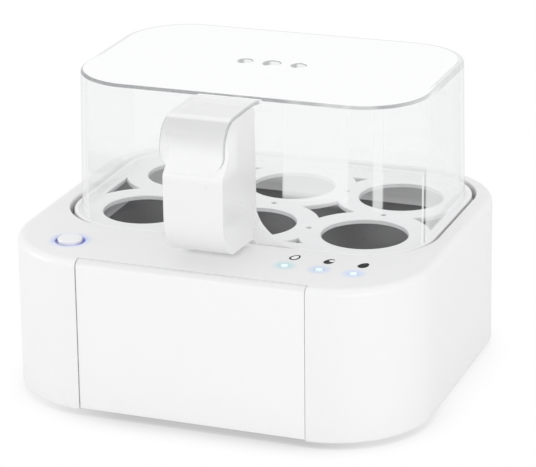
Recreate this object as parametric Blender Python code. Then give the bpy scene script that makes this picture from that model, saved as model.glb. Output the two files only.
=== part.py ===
"""Six-egg electric cooker: a base with a heating bowl, a lift-out egg tray and a clear lid.

Every dimension is in millimetres; new_object() scales to metres. +Z is up, the front faces -Y, and the
origin is the middle of the footprint on the floor.
"""

import math

import bmesh
import bpy
from mathutils import Vector

MM = 0.001
GAP = 0.3

# Base body
BODY_HALF_W = 98.5
BODY_HALF_D = 89.0
BODY_CORNER_R = 45.0
BODY_BOTTOM = 2.6
DECK_TOP = 74.3
DECK_THICK = 2.2
BODY_DRAFT = -0.4
BODY_EDGE_R = 3.5
CAVITY_HALF_W = 96.0
CAVITY_HALF_D = 85.2
CAVITY_CORNER_R = 42.5
CAVITY_Y = 1.3

# Recess in the deck, and the ledge that carries the bowl
WELL_Y = 20.7
WELL_HALF_W = 89.7
WELL_HALF_D = 62.9
WELL_CORNER_R = 35.0
SKIRT_WALL = 2.0
SKIRT_BOTTOM = 63.4
LEDGE_TOP = 66.6
LEDGE_HALF_W = 85.6
LEDGE_HALF_D = 59.6
LEDGE_CORNER_R = 33.0

# Front fascia panel
FASCIA_HALF_W = 54.0
FASCIA_LIP_BACK = -84.2
FASCIA_LIP_BOTTOM = 72.8
FASCIA_THICK = 1.7
FASCIA_SINK = 0.4
GROOVE = 0.6

# Start button
BUTTON_X = -67.3
CONTROL_Y = -64.3
BUTTON_R = 5.7
BUTTON_TOP = 75.9
BUTTON_FLANGE_R = 7.3
BUTTON_FLANGE_BOTTOM = 70.4
BUTTON_FLANGE_TOP = 71.5
BUTTON_PIN_R = 1.5
BUTTON_PIN_BOTTOM = 68.9
RING_INNER_R = 6.1
RING_OUTER_R = 7.7
RING_BOTTOM = 71.9
RING_TOP = 74.0
BUTTON_HOLE_R = 8.0
SPRING_MEAN_R = 5.0
SPRING_WIRE_R = 0.3
SPRING_BOTTOM = 63.4
SPRING_TOP = 69.7
SPRING_TURNS = 4.5

# Indicator lights
INDICATORS = (("soft", 36.2), ("medium", 52.3), ("hard", 68.2))
LENS_R = 1.9
LENS_HOLE_R = 2.2
LENS_BOTTOM = 65.6
LENS_TOP = 74.5
CHIP_HALF = 1.5
CHIP_TOP = 64.8

# Control board
BOARD_HALF_W = 75.0
BOARD_FRONT = -75.5
BOARD_BACK = -48.5
BOARD_BOTTOM = 61.1
BOARD_TOP = 62.7
BOARD_SCREW_X = 22.0
BOARD_SCREW_Y = -62.0
BOSS_R = 3.2
PILOT_R = 1.5
SCREW_R = 1.2
SCREW_HEAD_R = 2.8
SCREW_HOLE_R = 1.7
BOARD_SCREW_HEAD_BOTTOM = 58.9
BOARD_SCREW_HEAD_TOP = 60.8
BOARD_SCREW_TIP = 68.0

# Base plate with its cord channel and plug pocket
PLATE_HALF_W = 95.2
PLATE_HALF_D = 84.4
PLATE_CORNER_R = 41.8
PLATE_BOTTOM = 3.4
PLATE_TOP = 5.4
BASE_SCREW_X = 79.2
BASE_SCREW_FRONT_Y = -67.2
BASE_SCREW_REAR_Y = 69.8
BASE_BOSS_BOTTOM = 5.7
BASE_SCREW_HEAD_BOTTOM = 1.6
BASE_SCREW_HEAD_TOP = 3.1
BASE_SCREW_TIP = 16.0
FOOT_X = 89.6
FOOT_FRONT_Y = -38.0
FOOT_REAR_Y = 40.0
FOOT_HALF_W = 4.5
FOOT_HALF_D = 11.0
FOOT_TOP = 3.1
CORD_R = 2.9
CORD_Z = 9.4
CORD_OUTER_HALF_W = 62.0
CORD_OUTER_HALF_D = 52.0
CORD_INNER_HALF_W = 53.0
CORD_INNER_HALF_D = 43.0
CORD_CORNER_R = 22.0
CORD_EXIT_X = 30.0
CORD_EXIT_Y = 66.0
RELIEF_OUTER_R = 5.4
RELIEF_HOLE_R = 5.8
NOTCH_HALF = 5.0

# Heating bowl and what hangs under it
BOWL_HALF_W = 84.0
BOWL_HALF_D = 58.0
BOWL_CORNER_R = 31.2
BOWL_WALL = 0.8
BOWL_FLOOR = 56.3
BOWL_RIM = 69.0
BOWL_FLANGE_HALF_W = 88.4
BOWL_FLANGE_HALF_D = 61.6
BOWL_FLANGE_R = 34.0
BOWL_FOOT_R = 3.8
SEAL_OUT = 89.0
SEAL_IN = 86.2
SEAL_BOTTOM = 66.9
SEAL_TOP = 67.9
HEATER_HALF_W = 58.0
HEATER_HALF_D = 38.0
HEATER_BOTTOM = 52.4
HEATER_TOP = 55.2
ELEMENT_R = 3.2
ELEMENT_Z = 48.9
ELEMENT_HALF_W = 42.0
ELEMENT_HALF_D = 26.0
ELEMENT_CORNER_R = 16.0
ELEMENT_END_X = 15.0
TERMINAL_Z = 38.0

# Egg tray
TRAY_HALF_W = 87.7
TRAY_HALF_D = 61.0
TRAY_CORNER_R = 33.0
TRAY_BOTTOM = 69.4
TRAY_TOP = 71.6
BEAD_TOP = 73.5
BEAD_WIDTH = 2.3
EGG_PITCH_X = 54.3
EGG_PITCH_Y = 55.0
EGG_HOLE_R = 20.0
EGG_RING_R = 30.75
EGG_CHAMFER = 0.7
LATTICE_HALF_W = 81.5
LATTICE_HALF_D = 48.3
LATTICE_CORNER_R = 27.0
DIMPLE_R = 1.6
DIMPLE_DEPTH = 0.9

# Tray handle
HANDLE_HALF_W = 14.0
HANDLE_BACK = -39.3
HANDLE_LEAN = 1.2
HANDLE_FOOT_DEPTH = 2.2
HANDLE_FRONT = -80.8
HANDLE_ROOT_Z = 73.9
HANDLE_BELLY_Z = 78.6
HANDLE_TOP = 139.2
SCOOP_TOP = 134.5
SCOOP_BOTTOM = 117.8
SCOOP_DEPTH = 5.0
HANDLE_WALL = 2.6
FLARE_TOP = 92.0
FLARE_CENTRE_X = 40.0
FLARE_RADIUS_X = 26.0
FLARE_RADIUS_Z = 19.2
FLARE_START = 12.0
FLARE_END = 60.0
FLARE_STEPS = 8

# Clear lid
LID_BOTTOM = 71.9
LID_TOP = 140.4
LID_HALF_W = 84.2
LID_HALF_D = 54.4
LID_CORNER_R = 31.0
LID_FLARE = (0.6, 2.8, 0.2)
LID_WALL = 2.0
LID_EDGE_R = 2.0
VENTS = ((-13.2, 3.6), (0.0, 4.3), (13.2, 3.6))
VENT_Y = 19.7
TONGUE_HALF_W = 15.1
TONGUE_THICK = 2.0
TONGUE_TOP = 141.7
TONGUE_FRONT = -81.4
TONGUE_BEND_R = 13.2
TONGUE_TIP_Z = 118.5
TONGUE_TIP_R = 9.0

CORNER_STEPS = 6
FINE_STEPS = 8

WHITE = (0.86, 0.86, 0.85)
BRIGHT_WHITE = (0.90, 0.90, 0.90)
STEEL = (0.55, 0.55, 0.56)
DARK = (0.03, 0.03, 0.035)
GREEN = (0.02, 0.22, 0.08)
COPPER = (0.75, 0.45, 0.25)
BLUE = (0.25, 0.35, 1.0)
PALE_BLUE = (0.6, 0.85, 1.0)


def clear_scene():
    for obj in list(bpy.data.objects):
        bpy.data.objects.remove(obj, do_unlink=True)


def finish(obj, colour, roughness, metallic=0.0, transmission=0.0):
    """Gives the object its own Principled material."""
    material = bpy.data.materials.new(obj.name + "_material")
    material.use_nodes = True
    shader = material.node_tree.nodes["Principled BSDF"]
    shader.inputs["Base Color"].default_value = (*colour, 1.0)
    shader.inputs["Roughness"].default_value = roughness
    shader.inputs["Metallic"].default_value = metallic
    shader.inputs["Transmission Weight"].default_value = transmission
    obj.data.materials.append(material)
    return obj


def new_object(name, points, faces, origin=(0.0, 0.0, 0.0)):
    """A closed mesh object from points in millimetres, with its origin at the given point."""
    mesh = bpy.data.meshes.new(name)
    bm = bmesh.new()
    base = Vector(origin)
    verts = [bm.verts.new((Vector(point) - base) * MM) for point in points]
    for face in faces:
        bm.faces.new([verts[index] for index in face])
    bmesh.ops.recalc_face_normals(bm, faces=bm.faces)
    bm.to_mesh(mesh)
    bm.free()
    obj = bpy.data.objects.new(name, mesh)
    obj.location = base * MM
    bpy.context.scene.collection.objects.link(obj)
    return obj


def smooth(obj):
    """Smooth shading that keeps edges over 35 degrees crisp."""
    obj.data.shade_smooth()
    obj.data.set_sharp_from_angle(angle=math.radians(35.0))
    return obj


def loft(name, rings, closed=False, origin=(0.0, 0.0, 0.0)):
    """Skins rings of equal length; a closed loft joins the last ring to the first, others get end caps."""
    count = len(rings[0])
    points = [point for ring in rings for point in ring]
    faces = []
    spans = len(rings) if closed else len(rings) - 1
    for row in range(spans):
        low = row * count
        high = (row + 1) % len(rings) * count
        for i in range(count):
            j = (i + 1) % count
            faces.append((low + i, low + j, high + j, high + i))
    if not closed:
        faces.append(tuple(reversed(range(count))))
        faces.append(tuple(range(len(points) - count, len(points))))
    return smooth(new_object(name, points, faces, origin))


def rounded(half_w, half_d, radius, z, centre=(0.0, 0.0), steps=CORNER_STEPS):
    """One ring: a rounded rectangle at height z."""
    ring = []
    for corner, (side_x, side_y) in enumerate(((1, 1), (-1, 1), (-1, -1), (1, -1))):
        centre_x = centre[0] + side_x * (half_w - radius)
        centre_y = centre[1] + side_y * (half_d - radius)
        for step in range(steps + 1):
            angle = math.radians(90.0 * (corner + step / steps))
            ring.append((centre_x + radius * math.cos(angle), centre_y + radius * math.sin(angle), z))
    return ring


def circle(radius, z, centre=(0.0, 0.0), steps=24):
    """One ring: a circle at height z."""
    ring = []
    for step in range(steps):
        angle = 2.0 * math.pi * step / steps
        ring.append((centre[0] + radius * math.cos(angle), centre[1] + radius * math.sin(angle), z))
    return ring


def turned(name, profile, centre, steps=24, closed=False, origin=(0.0, 0.0, 0.0)):
    """A turned piece from (radius, z) pairs; a closed profile makes a ring."""
    rings = [circle(radius, z, centre, steps) for radius, z in profile]
    return loft(name, rings, closed, origin)


def block(name, low, high):
    """A plain box between two corners."""
    x0, y0, z0 = low
    x1, y1, z1 = high
    rings = [[(x0, y0, z), (x1, y0, z), (x1, y1, z), (x0, y1, z)] for z in (z0, z1)]
    return loft(name, rings)


def prism_x(name, profile, half_w, origin=(0.0, 0.0, 0.0)):
    """A side profile of (y, z) pairs extruded evenly both ways along X."""
    rings = [[(x, y, z) for y, z in profile] for x in (-half_w, half_w)]
    return loft(name, rings, origin=origin)


def tube(name, path, radius, sides=8):
    """A round tube along a path, with flat ends."""
    points = [Vector(point) for point in path]
    tangents = []
    for i in range(len(points)):
        before = points[max(i - 1, 0)]
        after = points[min(i + 1, len(points) - 1)]
        tangents.append((after - before).normalized())
    normal = tangents[0].orthogonal().normalized()
    rings = []
    for point, tangent in zip(points, tangents):
        normal = (normal - tangent * normal.dot(tangent)).normalized()
        side = tangent.cross(normal)
        ring = []
        for step in range(sides):
            angle = 2.0 * math.pi * step / sides
            ring.append(tuple(point + radius * (math.cos(angle) * normal + math.sin(angle) * side)))
        rings.append(ring)
    return loft(name, rings)


def boolean(obj, other, operation):
    """Adds an exact Boolean modifier and keeps the other shape out of the model."""
    modifier = obj.modifiers.new(operation.lower() + "_" + other.name, "BOOLEAN")
    modifier.operation = operation
    modifier.solver = "EXACT"
    modifier.object = other
    other.hide_render = True
    other.display_type = "WIRE"
    return obj


def cut(obj, other):
    return boolean(obj, other, "DIFFERENCE")


def join(obj, other):
    return boolean(obj, other, "UNION")


def front_y(z):
    """How far forward the drafted front face is at height z."""
    share = (z - BODY_BOTTOM) / (DECK_TOP - BODY_BOTTOM)
    return -(BODY_HALF_D - BODY_DRAFT * (1.0 - share))


def well(half_w, half_d, radius, z):
    return rounded(half_w, half_d, radius, z, (0.0, WELL_Y))


def cavity_centred(half_w, half_d, radius, z):
    return rounded(half_w, half_d, radius, z, (0.0, CAVITY_Y))


def build_housing():
    def skin(inset, z):
        return rounded(BODY_HALF_W - inset, BODY_HALF_D - inset, BODY_CORNER_R - inset, z, steps=FINE_STEPS)

    rings = [skin(BODY_DRAFT + 0.8, BODY_BOTTOM), skin(BODY_DRAFT, BODY_BOTTOM + 0.8)]
    for step in range(5):
        angle = math.radians(90.0 * step / 4)
        inset = BODY_EDGE_R * (1.0 - math.cos(angle))
        rings.append(skin(inset, DECK_TOP - BODY_EDGE_R * (1.0 - math.sin(angle))))
    housing = loft("housing", rings)

    cavity = [
        rounded(CAVITY_HALF_W, CAVITY_HALF_D, CAVITY_CORNER_R, z, (0.0, CAVITY_Y), FINE_STEPS)
        for z in (-2.0, DECK_TOP - DECK_THICK)
    ]
    cut(housing, loft("housing_cavity", cavity))

    skirt_size = (WELL_HALF_W + SKIRT_WALL, WELL_HALF_D + SKIRT_WALL, WELL_CORNER_R + SKIRT_WALL)
    skirt = [well(*skirt_size, z) for z in (SKIRT_BOTTOM, DECK_TOP - 1.0)]
    join(housing, loft("housing_skirt", skirt))
    for side in (-1, 1):
        for y, top in ((BASE_SCREW_FRONT_Y, DECK_TOP - 1.0), (BASE_SCREW_REAR_Y, SKIRT_BOTTOM + 2.0)):
            profile = ((BOSS_R, BASE_BOSS_BOTTOM), (BOSS_R, top))
            join(housing, turned("housing_boss", profile, (side * BASE_SCREW_X, y), 12))
        profile = ((BOSS_R, BOARD_TOP + GAP), (BOSS_R, DECK_TOP - 1.0))
        join(housing, turned("board_boss", profile, (side * BOARD_SCREW_X, BOARD_SCREW_Y), 12))

    opening = [well(WELL_HALF_W, WELL_HALF_D, WELL_CORNER_R, z) for z in (LEDGE_TOP, DECK_TOP + 5.0)]
    cut(housing, loft("well_opening", opening))
    heights = (SKIRT_BOTTOM - 5.0, LEDGE_TOP + 2.0)
    through = [well(LEDGE_HALF_W, LEDGE_HALF_D, LEDGE_CORNER_R, z) for z in heights]
    cut(housing, loft("bowl_opening", through))

    behind = FASCIA_SINK + FASCIA_THICK + GAP
    pocket = [
        (-120.0, -2.0),
        (front_y(-2.0) + behind, -2.0),
        (front_y(FASCIA_LIP_BOTTOM) + behind, FASCIA_LIP_BOTTOM - GAP),
        (FASCIA_LIP_BACK + GROOVE, FASCIA_LIP_BOTTOM - GAP),
        (FASCIA_LIP_BACK + GROOVE, 90.0),
        (-120.0, 90.0),
    ]
    cut(housing, prism_x("fascia_pocket", pocket, FASCIA_HALF_W + GROOVE))

    hole = ((BUTTON_HOLE_R, DECK_TOP - 6.0), (BUTTON_HOLE_R, DECK_TOP + 2.0))
    cut(housing, turned("button_hole", hole, (BUTTON_X, CONTROL_Y)))
    for name, x in INDICATORS:
        hole = ((LENS_HOLE_R, DECK_TOP - 6.0), (LENS_HOLE_R, DECK_TOP + 2.0))
        cut(housing, turned("lens_hole_" + name, hole, (x, CONTROL_Y), 16))
    for side in (-1, 1):
        for y in (BASE_SCREW_FRONT_Y, BASE_SCREW_REAR_Y):
            hole = ((PILOT_R, BASE_BOSS_BOTTOM - 2.0), (PILOT_R, BASE_SCREW_TIP + 2.0))
            cut(housing, turned("base_pilot", hole, (side * BASE_SCREW_X, y), 10))
        hole = ((PILOT_R, BOARD_TOP - 2.0), (PILOT_R, BOARD_SCREW_TIP + 2.0))
        cut(housing, turned("board_pilot", hole, (side * BOARD_SCREW_X, BOARD_SCREW_Y), 10))

    notch = block("cord_notch", (-NOTCH_HALF, BODY_HALF_D - 12.0, -2.0), (NOTCH_HALF, BODY_HALF_D + 5.0, 9.0))
    cut(housing, notch)
    finish(housing, WHITE, 0.3)


def build_fascia():
    low = PLATE_BOTTOM
    inside = FASCIA_SINK + FASCIA_THICK
    profile = [
        (front_y(low) + FASCIA_SINK, low),
        (front_y(low) + inside, low),
        (front_y(FASCIA_LIP_BOTTOM) + inside, FASCIA_LIP_BOTTOM),
        (FASCIA_LIP_BACK, FASCIA_LIP_BOTTOM),
        (FASCIA_LIP_BACK, DECK_TOP - FASCIA_SINK),
    ]
    bend = BODY_EDGE_R - FASCIA_SINK
    for step in range(5):
        angle = math.radians(90.0 * step / 4)
        y = -BODY_HALF_D + BODY_EDGE_R - bend * math.sin(angle)
        profile.append((y, DECK_TOP - BODY_EDGE_R + bend * math.cos(angle)))
    fascia = prism_x("front_fascia", profile, FASCIA_HALF_W)
    finish(fascia, BRIGHT_WHITE, 0.2)


def build_base_plate():
    plate = loft("base_plate", [
        cavity_centred(29.0, 19.0, 6.0, 19.0),
        cavity_centred(29.6, 19.6, 6.0, PLATE_BOTTOM),
        cavity_centred(53.0, 43.0, 16.0, PLATE_BOTTOM),
        cavity_centred(53.0, 43.0, 16.0, 4.8),
        cavity_centred(46.0, 36.0, 12.0, 5.6),
        cavity_centred(46.0, 36.0, 12.0, 14.2),
        cavity_centred(84.0, 73.2, 32.0, 14.2),
        cavity_centred(84.0, 73.2, 32.0, PLATE_BOTTOM),
        cavity_centred(PLATE_HALF_W, PLATE_HALF_D, PLATE_CORNER_R, PLATE_BOTTOM),
        cavity_centred(PLATE_HALF_W, PLATE_HALF_D, PLATE_CORNER_R, PLATE_TOP),
        cavity_centred(86.0, 75.2, 34.0, PLATE_TOP),
        cavity_centred(86.0, 75.2, 34.0, 16.2),
        cavity_centred(31.0, 21.0, 8.0, 16.2),
        cavity_centred(31.0, 21.0, 8.0, 21.0),
    ])
    for side in (-1, 1):
        for y in (BASE_SCREW_FRONT_Y, BASE_SCREW_REAR_Y):
            hole = ((SCREW_HOLE_R, PLATE_BOTTOM - 2.0), (SCREW_HOLE_R, PLATE_TOP + 2.0))
            cut(plate, turned("plate_hole", hole, (side * BASE_SCREW_X, y), 10))
    hole = ((RELIEF_HOLE_R, 12.0), (RELIEF_HOLE_R, 19.0))
    cut(plate, turned("relief_hole", hole, (CORD_EXIT_X, CORD_EXIT_Y), 16))
    cut(plate, block("plug_notch", (26.0, CAVITY_Y - NOTCH_HALF, 0.0), (60.0, CAVITY_Y + NOTCH_HALF, 13.0)))
    finish(plate, WHITE, 0.5)

    for row, y in (("front", FOOT_FRONT_Y), ("rear", FOOT_REAR_Y)):
        for side, x in (("left", -FOOT_X), ("right", FOOT_X)):
            rings = [
                rounded(FOOT_HALF_W - 0.6, FOOT_HALF_D - 0.6, FOOT_HALF_W - 0.6, 0.0, (x, y), 4),
                rounded(FOOT_HALF_W, FOOT_HALF_D, FOOT_HALF_W - 0.01, 0.6, (x, y), 4),
                rounded(FOOT_HALF_W, FOOT_HALF_D, FOOT_HALF_W - 0.01, FOOT_TOP, (x, y), 4),
            ]
            finish(loft(f"foot_{row}_{side}", rings), DARK, 0.8)
    for row, y in (("front", BASE_SCREW_FRONT_Y), ("rear", BASE_SCREW_REAR_Y)):
        for side, x in (("left", -BASE_SCREW_X), ("right", BASE_SCREW_X)):
            name = f"base_screw_{row}_{side}"
            build_screw(name, (x, y), BASE_SCREW_HEAD_BOTTOM, BASE_SCREW_HEAD_TOP, BASE_SCREW_TIP)


def build_screw(name, centre, head_bottom, head_top, tip):
    """A pan-head screw that points up, with a cross slot in its head."""
    profile = (
        (SCREW_HEAD_R - 0.5, head_bottom),
        (SCREW_HEAD_R, head_bottom + 0.5),
        (SCREW_HEAD_R, head_top),
        (SCREW_R, head_top),
        (SCREW_R, tip - 1.0),
        (SCREW_R * 0.4, tip),
    )
    screw = turned(name, profile, centre, 12)
    x, y = centre
    low = (x - 1.8, y - 0.35, head_bottom - 1.0)
    slot = block(name + "_slot", low, (x + 1.8, y + 0.35, head_bottom + 0.7))
    cut(screw, slot)
    finish(screw, STEEL, 0.35, 1.0)


def build_cord():
    def lap(half_w, half_d, start, end):
        """Points on a rounded rectangle between two shares of its corner points."""
        ring = rounded(half_w, half_d, CORD_CORNER_R, CORD_Z, (0.0, CAVITY_Y), 4)
        return ring[start:end]

    path = [
        (20.0, -32.0, 22.5),
        (24.0, -20.0, 25.0),
        (36.0, 0.0, 26.5),
        (36.0, 40.0, 26.0),
        (33.0, 58.0, 25.0),
        (30.4, 65.0, 22.4),
        (CORD_EXIT_X, CORD_EXIT_Y, 19.6),
        (CORD_EXIT_X, CORD_EXIT_Y, 18.4),
        (CORD_EXIT_X, CORD_EXIT_Y, 12.5),
        (CORD_EXIT_X, CORD_EXIT_Y, 11.6),
        (28.6, 65.0, 9.8),
        (25.0, 62.6, CORD_Z),
        (14.0, 56.4, CORD_Z),
    ]
    path += [(0.0, CAVITY_Y + CORD_OUTER_HALF_D, CORD_Z)]
    path += lap(CORD_OUTER_HALF_W, CORD_OUTER_HALF_D, 5, 20)
    path += [(CORD_OUTER_HALF_W, CAVITY_Y, CORD_Z)]
    path += lap(CORD_OUTER_HALF_W, CORD_OUTER_HALF_D, 0, 2)
    path += [(40.0, CAVITY_Y + 48.0, CORD_Z), (20.0, CAVITY_Y + 44.5, CORD_Z)]
    path += lap(CORD_INNER_HALF_W, CORD_INNER_HALF_D, 5, 20)
    path += [(53.0, -10.0, CORD_Z), (52.2, -4.5, CORD_Z), (50.0, -0.6, CORD_Z), (46.0, 1.1, CORD_Z)]
    path += [(40.0, CAVITY_Y, CORD_Z), (25.5, CAVITY_Y, CORD_Z)]
    finish(tube("power_cord", path, CORD_R, 7), WHITE, 0.5)

    relief = ((CORD_R + GAP, 12.6), (RELIEF_OUTER_R, 12.6), (RELIEF_OUTER_R, 18.0), (CORD_R + GAP, 18.0))
    finish(turned("strain_relief", relief, (CORD_EXIT_X, CORD_EXIT_Y), 16, closed=True), DARK, 0.6)

    plug = loft("mains_plug", [
        [(x, CAVITY_Y + y * width, z) for y, z in ((-1.0, 4.9), (1.0, 4.9), (1.0, 16.5), (-1.0, 16.5))]
        for x, width in ((-9.0, 17.0), (2.0, 17.0), (14.0, 10.0), (25.0, 6.0))
    ])
    bevel = plug.modifiers.new("edge", "BEVEL")
    bevel.width = 1.6 * MM
    bevel.segments = 2
    bevel.limit_method = "ANGLE"
    finish(plug, WHITE, 0.5)
    for side, offset in (("left", -9.5), ("right", 9.5)):
        path = [(x, CAVITY_Y + offset, 10.7) for x in (-9.4, -18.0, -28.0)]
        finish(tube("plug_pin_" + side, path, 2.0, 10), STEEL, 0.25, 1.0)


def build_bowl():
    def ring(inset, z):
        return well(BOWL_HALF_W - inset, BOWL_HALF_D - inset, BOWL_CORNER_R - inset, z)

    foot = BOWL_FOOT_R
    bowl = loft("heating_bowl", [
        ring(foot - BOWL_WALL, BOWL_FLOOR - BOWL_WALL),
        ring(foot * 0.3 - BOWL_WALL, BOWL_FLOOR - BOWL_WALL + foot * 0.3),
        ring(-BOWL_WALL, BOWL_FLOOR - BOWL_WALL + foot),
        ring(-BOWL_WALL, BOWL_RIM - BOWL_WALL),
        well(BOWL_FLANGE_HALF_W, BOWL_FLANGE_HALF_D, BOWL_FLANGE_R, BOWL_RIM - BOWL_WALL),
        well(BOWL_FLANGE_HALF_W, BOWL_FLANGE_HALF_D, BOWL_FLANGE_R, BOWL_RIM),
        ring(0.0, BOWL_RIM),
        ring(0.0, BOWL_FLOOR + foot),
        ring(foot * 0.3, BOWL_FLOOR + foot * 0.3),
        ring(foot, BOWL_FLOOR),
    ])
    finish(bowl, STEEL, 0.35, 1.0)

    seal_sizes = ((SEAL_OUT, SEAL_BOTTOM), (SEAL_OUT, SEAL_TOP), (SEAL_IN, SEAL_TOP), (SEAL_IN, SEAL_BOTTOM))
    narrow = WELL_HALF_W - WELL_HALF_D
    seal = [well(half, half - narrow, 34.5 - (SEAL_OUT - half), z) for half, z in seal_sizes]
    finish(loft("bowl_seal", seal, closed=True), DARK, 0.7)

    heater = [well(HEATER_HALF_W, HEATER_HALF_D, 10.0, z) for z in (HEATER_BOTTOM, HEATER_TOP)]
    finish(loft("heater_plate", heater), STEEL, 0.4, 1.0)

    loop = rounded(ELEMENT_HALF_W, ELEMENT_HALF_D, ELEMENT_CORNER_R, ELEMENT_Z, (0.0, WELL_Y), 5)
    front = WELL_Y - ELEMENT_HALF_D
    path = [(ELEMENT_END_X, front - 6.0, TERMINAL_Z), (ELEMENT_END_X, front - 5.0, ELEMENT_Z - 4.0)]
    path += [(ELEMENT_END_X + 4.0, front, ELEMENT_Z)]
    path += loop[18:] + loop[:18]
    path += [(-ELEMENT_END_X - 4.0, front, ELEMENT_Z)]
    path += [(-ELEMENT_END_X, front - 5.0, ELEMENT_Z - 4.0), (-ELEMENT_END_X, front - 6.0, TERMINAL_Z)]
    finish(tube("heating_element", path, ELEMENT_R, 8), STEEL, 0.45, 1.0)

    can = ((8.0, 45.2), (8.0, 51.0), (6.8, 52.1))
    finish(turned("thermostat", can, (0.0, WELL_Y), 16), STEEL, 0.4, 1.0)
    fuse = [(-6.0, WELL_Y + 14.0, 49.6), (0.0, WELL_Y + 14.0, 49.6), (6.0, WELL_Y + 14.0, 49.6)]
    finish(tube("thermal_fuse", fuse, 2.1, 8), STEEL, 0.4, 1.0)


def build_controls():
    board = block("control_board", (-BOARD_HALF_W, BOARD_FRONT, BOARD_BOTTOM), (BOARD_HALF_W, BOARD_BACK, BOARD_TOP))
    for side, x in (("left", -BOARD_SCREW_X), ("right", BOARD_SCREW_X)):
        hole = ((SCREW_HOLE_R, BOARD_BOTTOM - 2.0), (SCREW_HOLE_R, BOARD_TOP + 2.0))
        cut(board, turned("board_hole", hole, (x, BOARD_SCREW_Y), 10))
        build_screw(
            f"board_screw_{side}",
            (x, BOARD_SCREW_Y),
            BOARD_SCREW_HEAD_BOTTOM,
            BOARD_SCREW_HEAD_TOP,
            BOARD_SCREW_TIP,
        )
    finish(board, GREEN, 0.5)

    on_board = BOARD_TOP + GAP
    for name, x in INDICATORS:
        low = (x - CHIP_HALF, CONTROL_Y - CHIP_HALF, on_board)
        high = (x + CHIP_HALF, CONTROL_Y + CHIP_HALF, CHIP_TOP)
        finish(block("led_" + name, low, high), BRIGHT_WHITE, 0.4)
        profile = ((LENS_R, LENS_BOTTOM), (LENS_R, LENS_TOP - 0.4), (LENS_R - 0.5, LENS_TOP))
        finish(turned("lens_" + name, profile, (x, CONTROL_Y), 16), PALE_BLUE, 0.2, transmission=0.6)

    ring_profile = (
        (RING_INNER_R, RING_BOTTOM),
        (RING_OUTER_R, RING_BOTTOM),
        (RING_OUTER_R, RING_TOP),
        (RING_INNER_R, RING_TOP),
    )
    ring_light = turned("button_ring_light", ring_profile, (BUTTON_X, CONTROL_Y), 28, closed=True)
    finish(ring_light, BLUE, 0.3, transmission=0.4)

    profile = (
        (BUTTON_PIN_R, BUTTON_PIN_BOTTOM),
        (BUTTON_PIN_R, BUTTON_FLANGE_BOTTOM),
        (BUTTON_FLANGE_R, BUTTON_FLANGE_BOTTOM),
        (BUTTON_FLANGE_R, BUTTON_FLANGE_TOP),
        (BUTTON_R, BUTTON_FLANGE_TOP),
        (BUTTON_R, BUTTON_TOP - 0.6),
        (BUTTON_R - 0.6, BUTTON_TOP),
    )
    origin = (BUTTON_X, CONTROL_Y, BUTTON_TOP)
    finish(turned("power_button_cap", profile, (BUTTON_X, CONTROL_Y), 28, origin=origin), WHITE, 0.3)

    coil = []
    for step in range(int(SPRING_TURNS * 12) + 1):
        share = step / (SPRING_TURNS * 12)
        angle = 2.0 * math.pi * SPRING_TURNS * share
        x = BUTTON_X + SPRING_MEAN_R * math.cos(angle)
        y = CONTROL_Y + SPRING_MEAN_R * math.sin(angle)
        coil.append((x, y, SPRING_BOTTOM + share * (SPRING_TOP - SPRING_BOTTOM)))
    finish(tube("button_spring", coil, SPRING_WIRE_R, 5), STEEL, 0.3, 1.0)

    low = (BUTTON_X - 3.0, CONTROL_Y - 3.0, on_board)
    switch = block("tact_switch", low, (BUTTON_X + 3.0, CONTROL_Y + 3.0, 66.0))
    plunger = ((BUTTON_PIN_R, 65.0), (BUTTON_PIN_R, 67.3))
    join(switch, turned("switch_plunger", plunger, (BUTTON_X, CONTROL_Y), 12))
    finish(switch, DARK, 0.5)

    buzzer = turned("buzzer", ((6.0, on_board), (6.0, 69.0)), (0.0, -62.0), 20)
    cut(buzzer, turned("buzzer_port", ((1.2, 67.0), (1.2, 71.0)), (0.0, -62.0), 10))
    finish(buzzer, DARK, 0.4)
    finish(block("relay", (-52.0, -70.0, 46.0), (-34.0, -56.0, BOARD_BOTTOM - GAP)), DARK, 0.4)
    finish(block("terminal_block", (-18.0, -46.0, 16.5), (18.0, -34.0, 27.0)), BRIGHT_WHITE, 0.5)

    front = WELL_Y - ELEMENT_HALF_D - 6.0
    for name, side in (("live", -1), ("neutral", 1)):
        path = [
            (side * 12.0, -40.0, 27.3),
            (side * 12.0, -39.0, 31.0),
            (side * 13.0, -28.0, 33.5),
            (side * 14.5, front - 3.0, 34.0),
            (side * ELEMENT_END_X, front, 36.0),
            (side * ELEMENT_END_X, front, TERMINAL_Z - GAP),
        ]
        finish(tube("heater_lead_" + name, path, 1.3, 6), COPPER, 0.5)
    path = [(-3.0, -42.0, 27.3), (-3.0, -43.0, 34.0), (-6.0, -52.0, 46.0), (-9.0, -58.0, 56.0)]
    path.append((-9.0, -58.5, BOARD_BOTTOM - GAP))
    finish(tube("board_lead", path, 1.3, 6), COPPER, 0.5)


def egg_places():
    return [
        (column * EGG_PITCH_X, WELL_Y + row * EGG_PITCH_Y / 2.0)
        for row in (-1, 1)
        for column in (-1, 0, 1)
    ]


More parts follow.
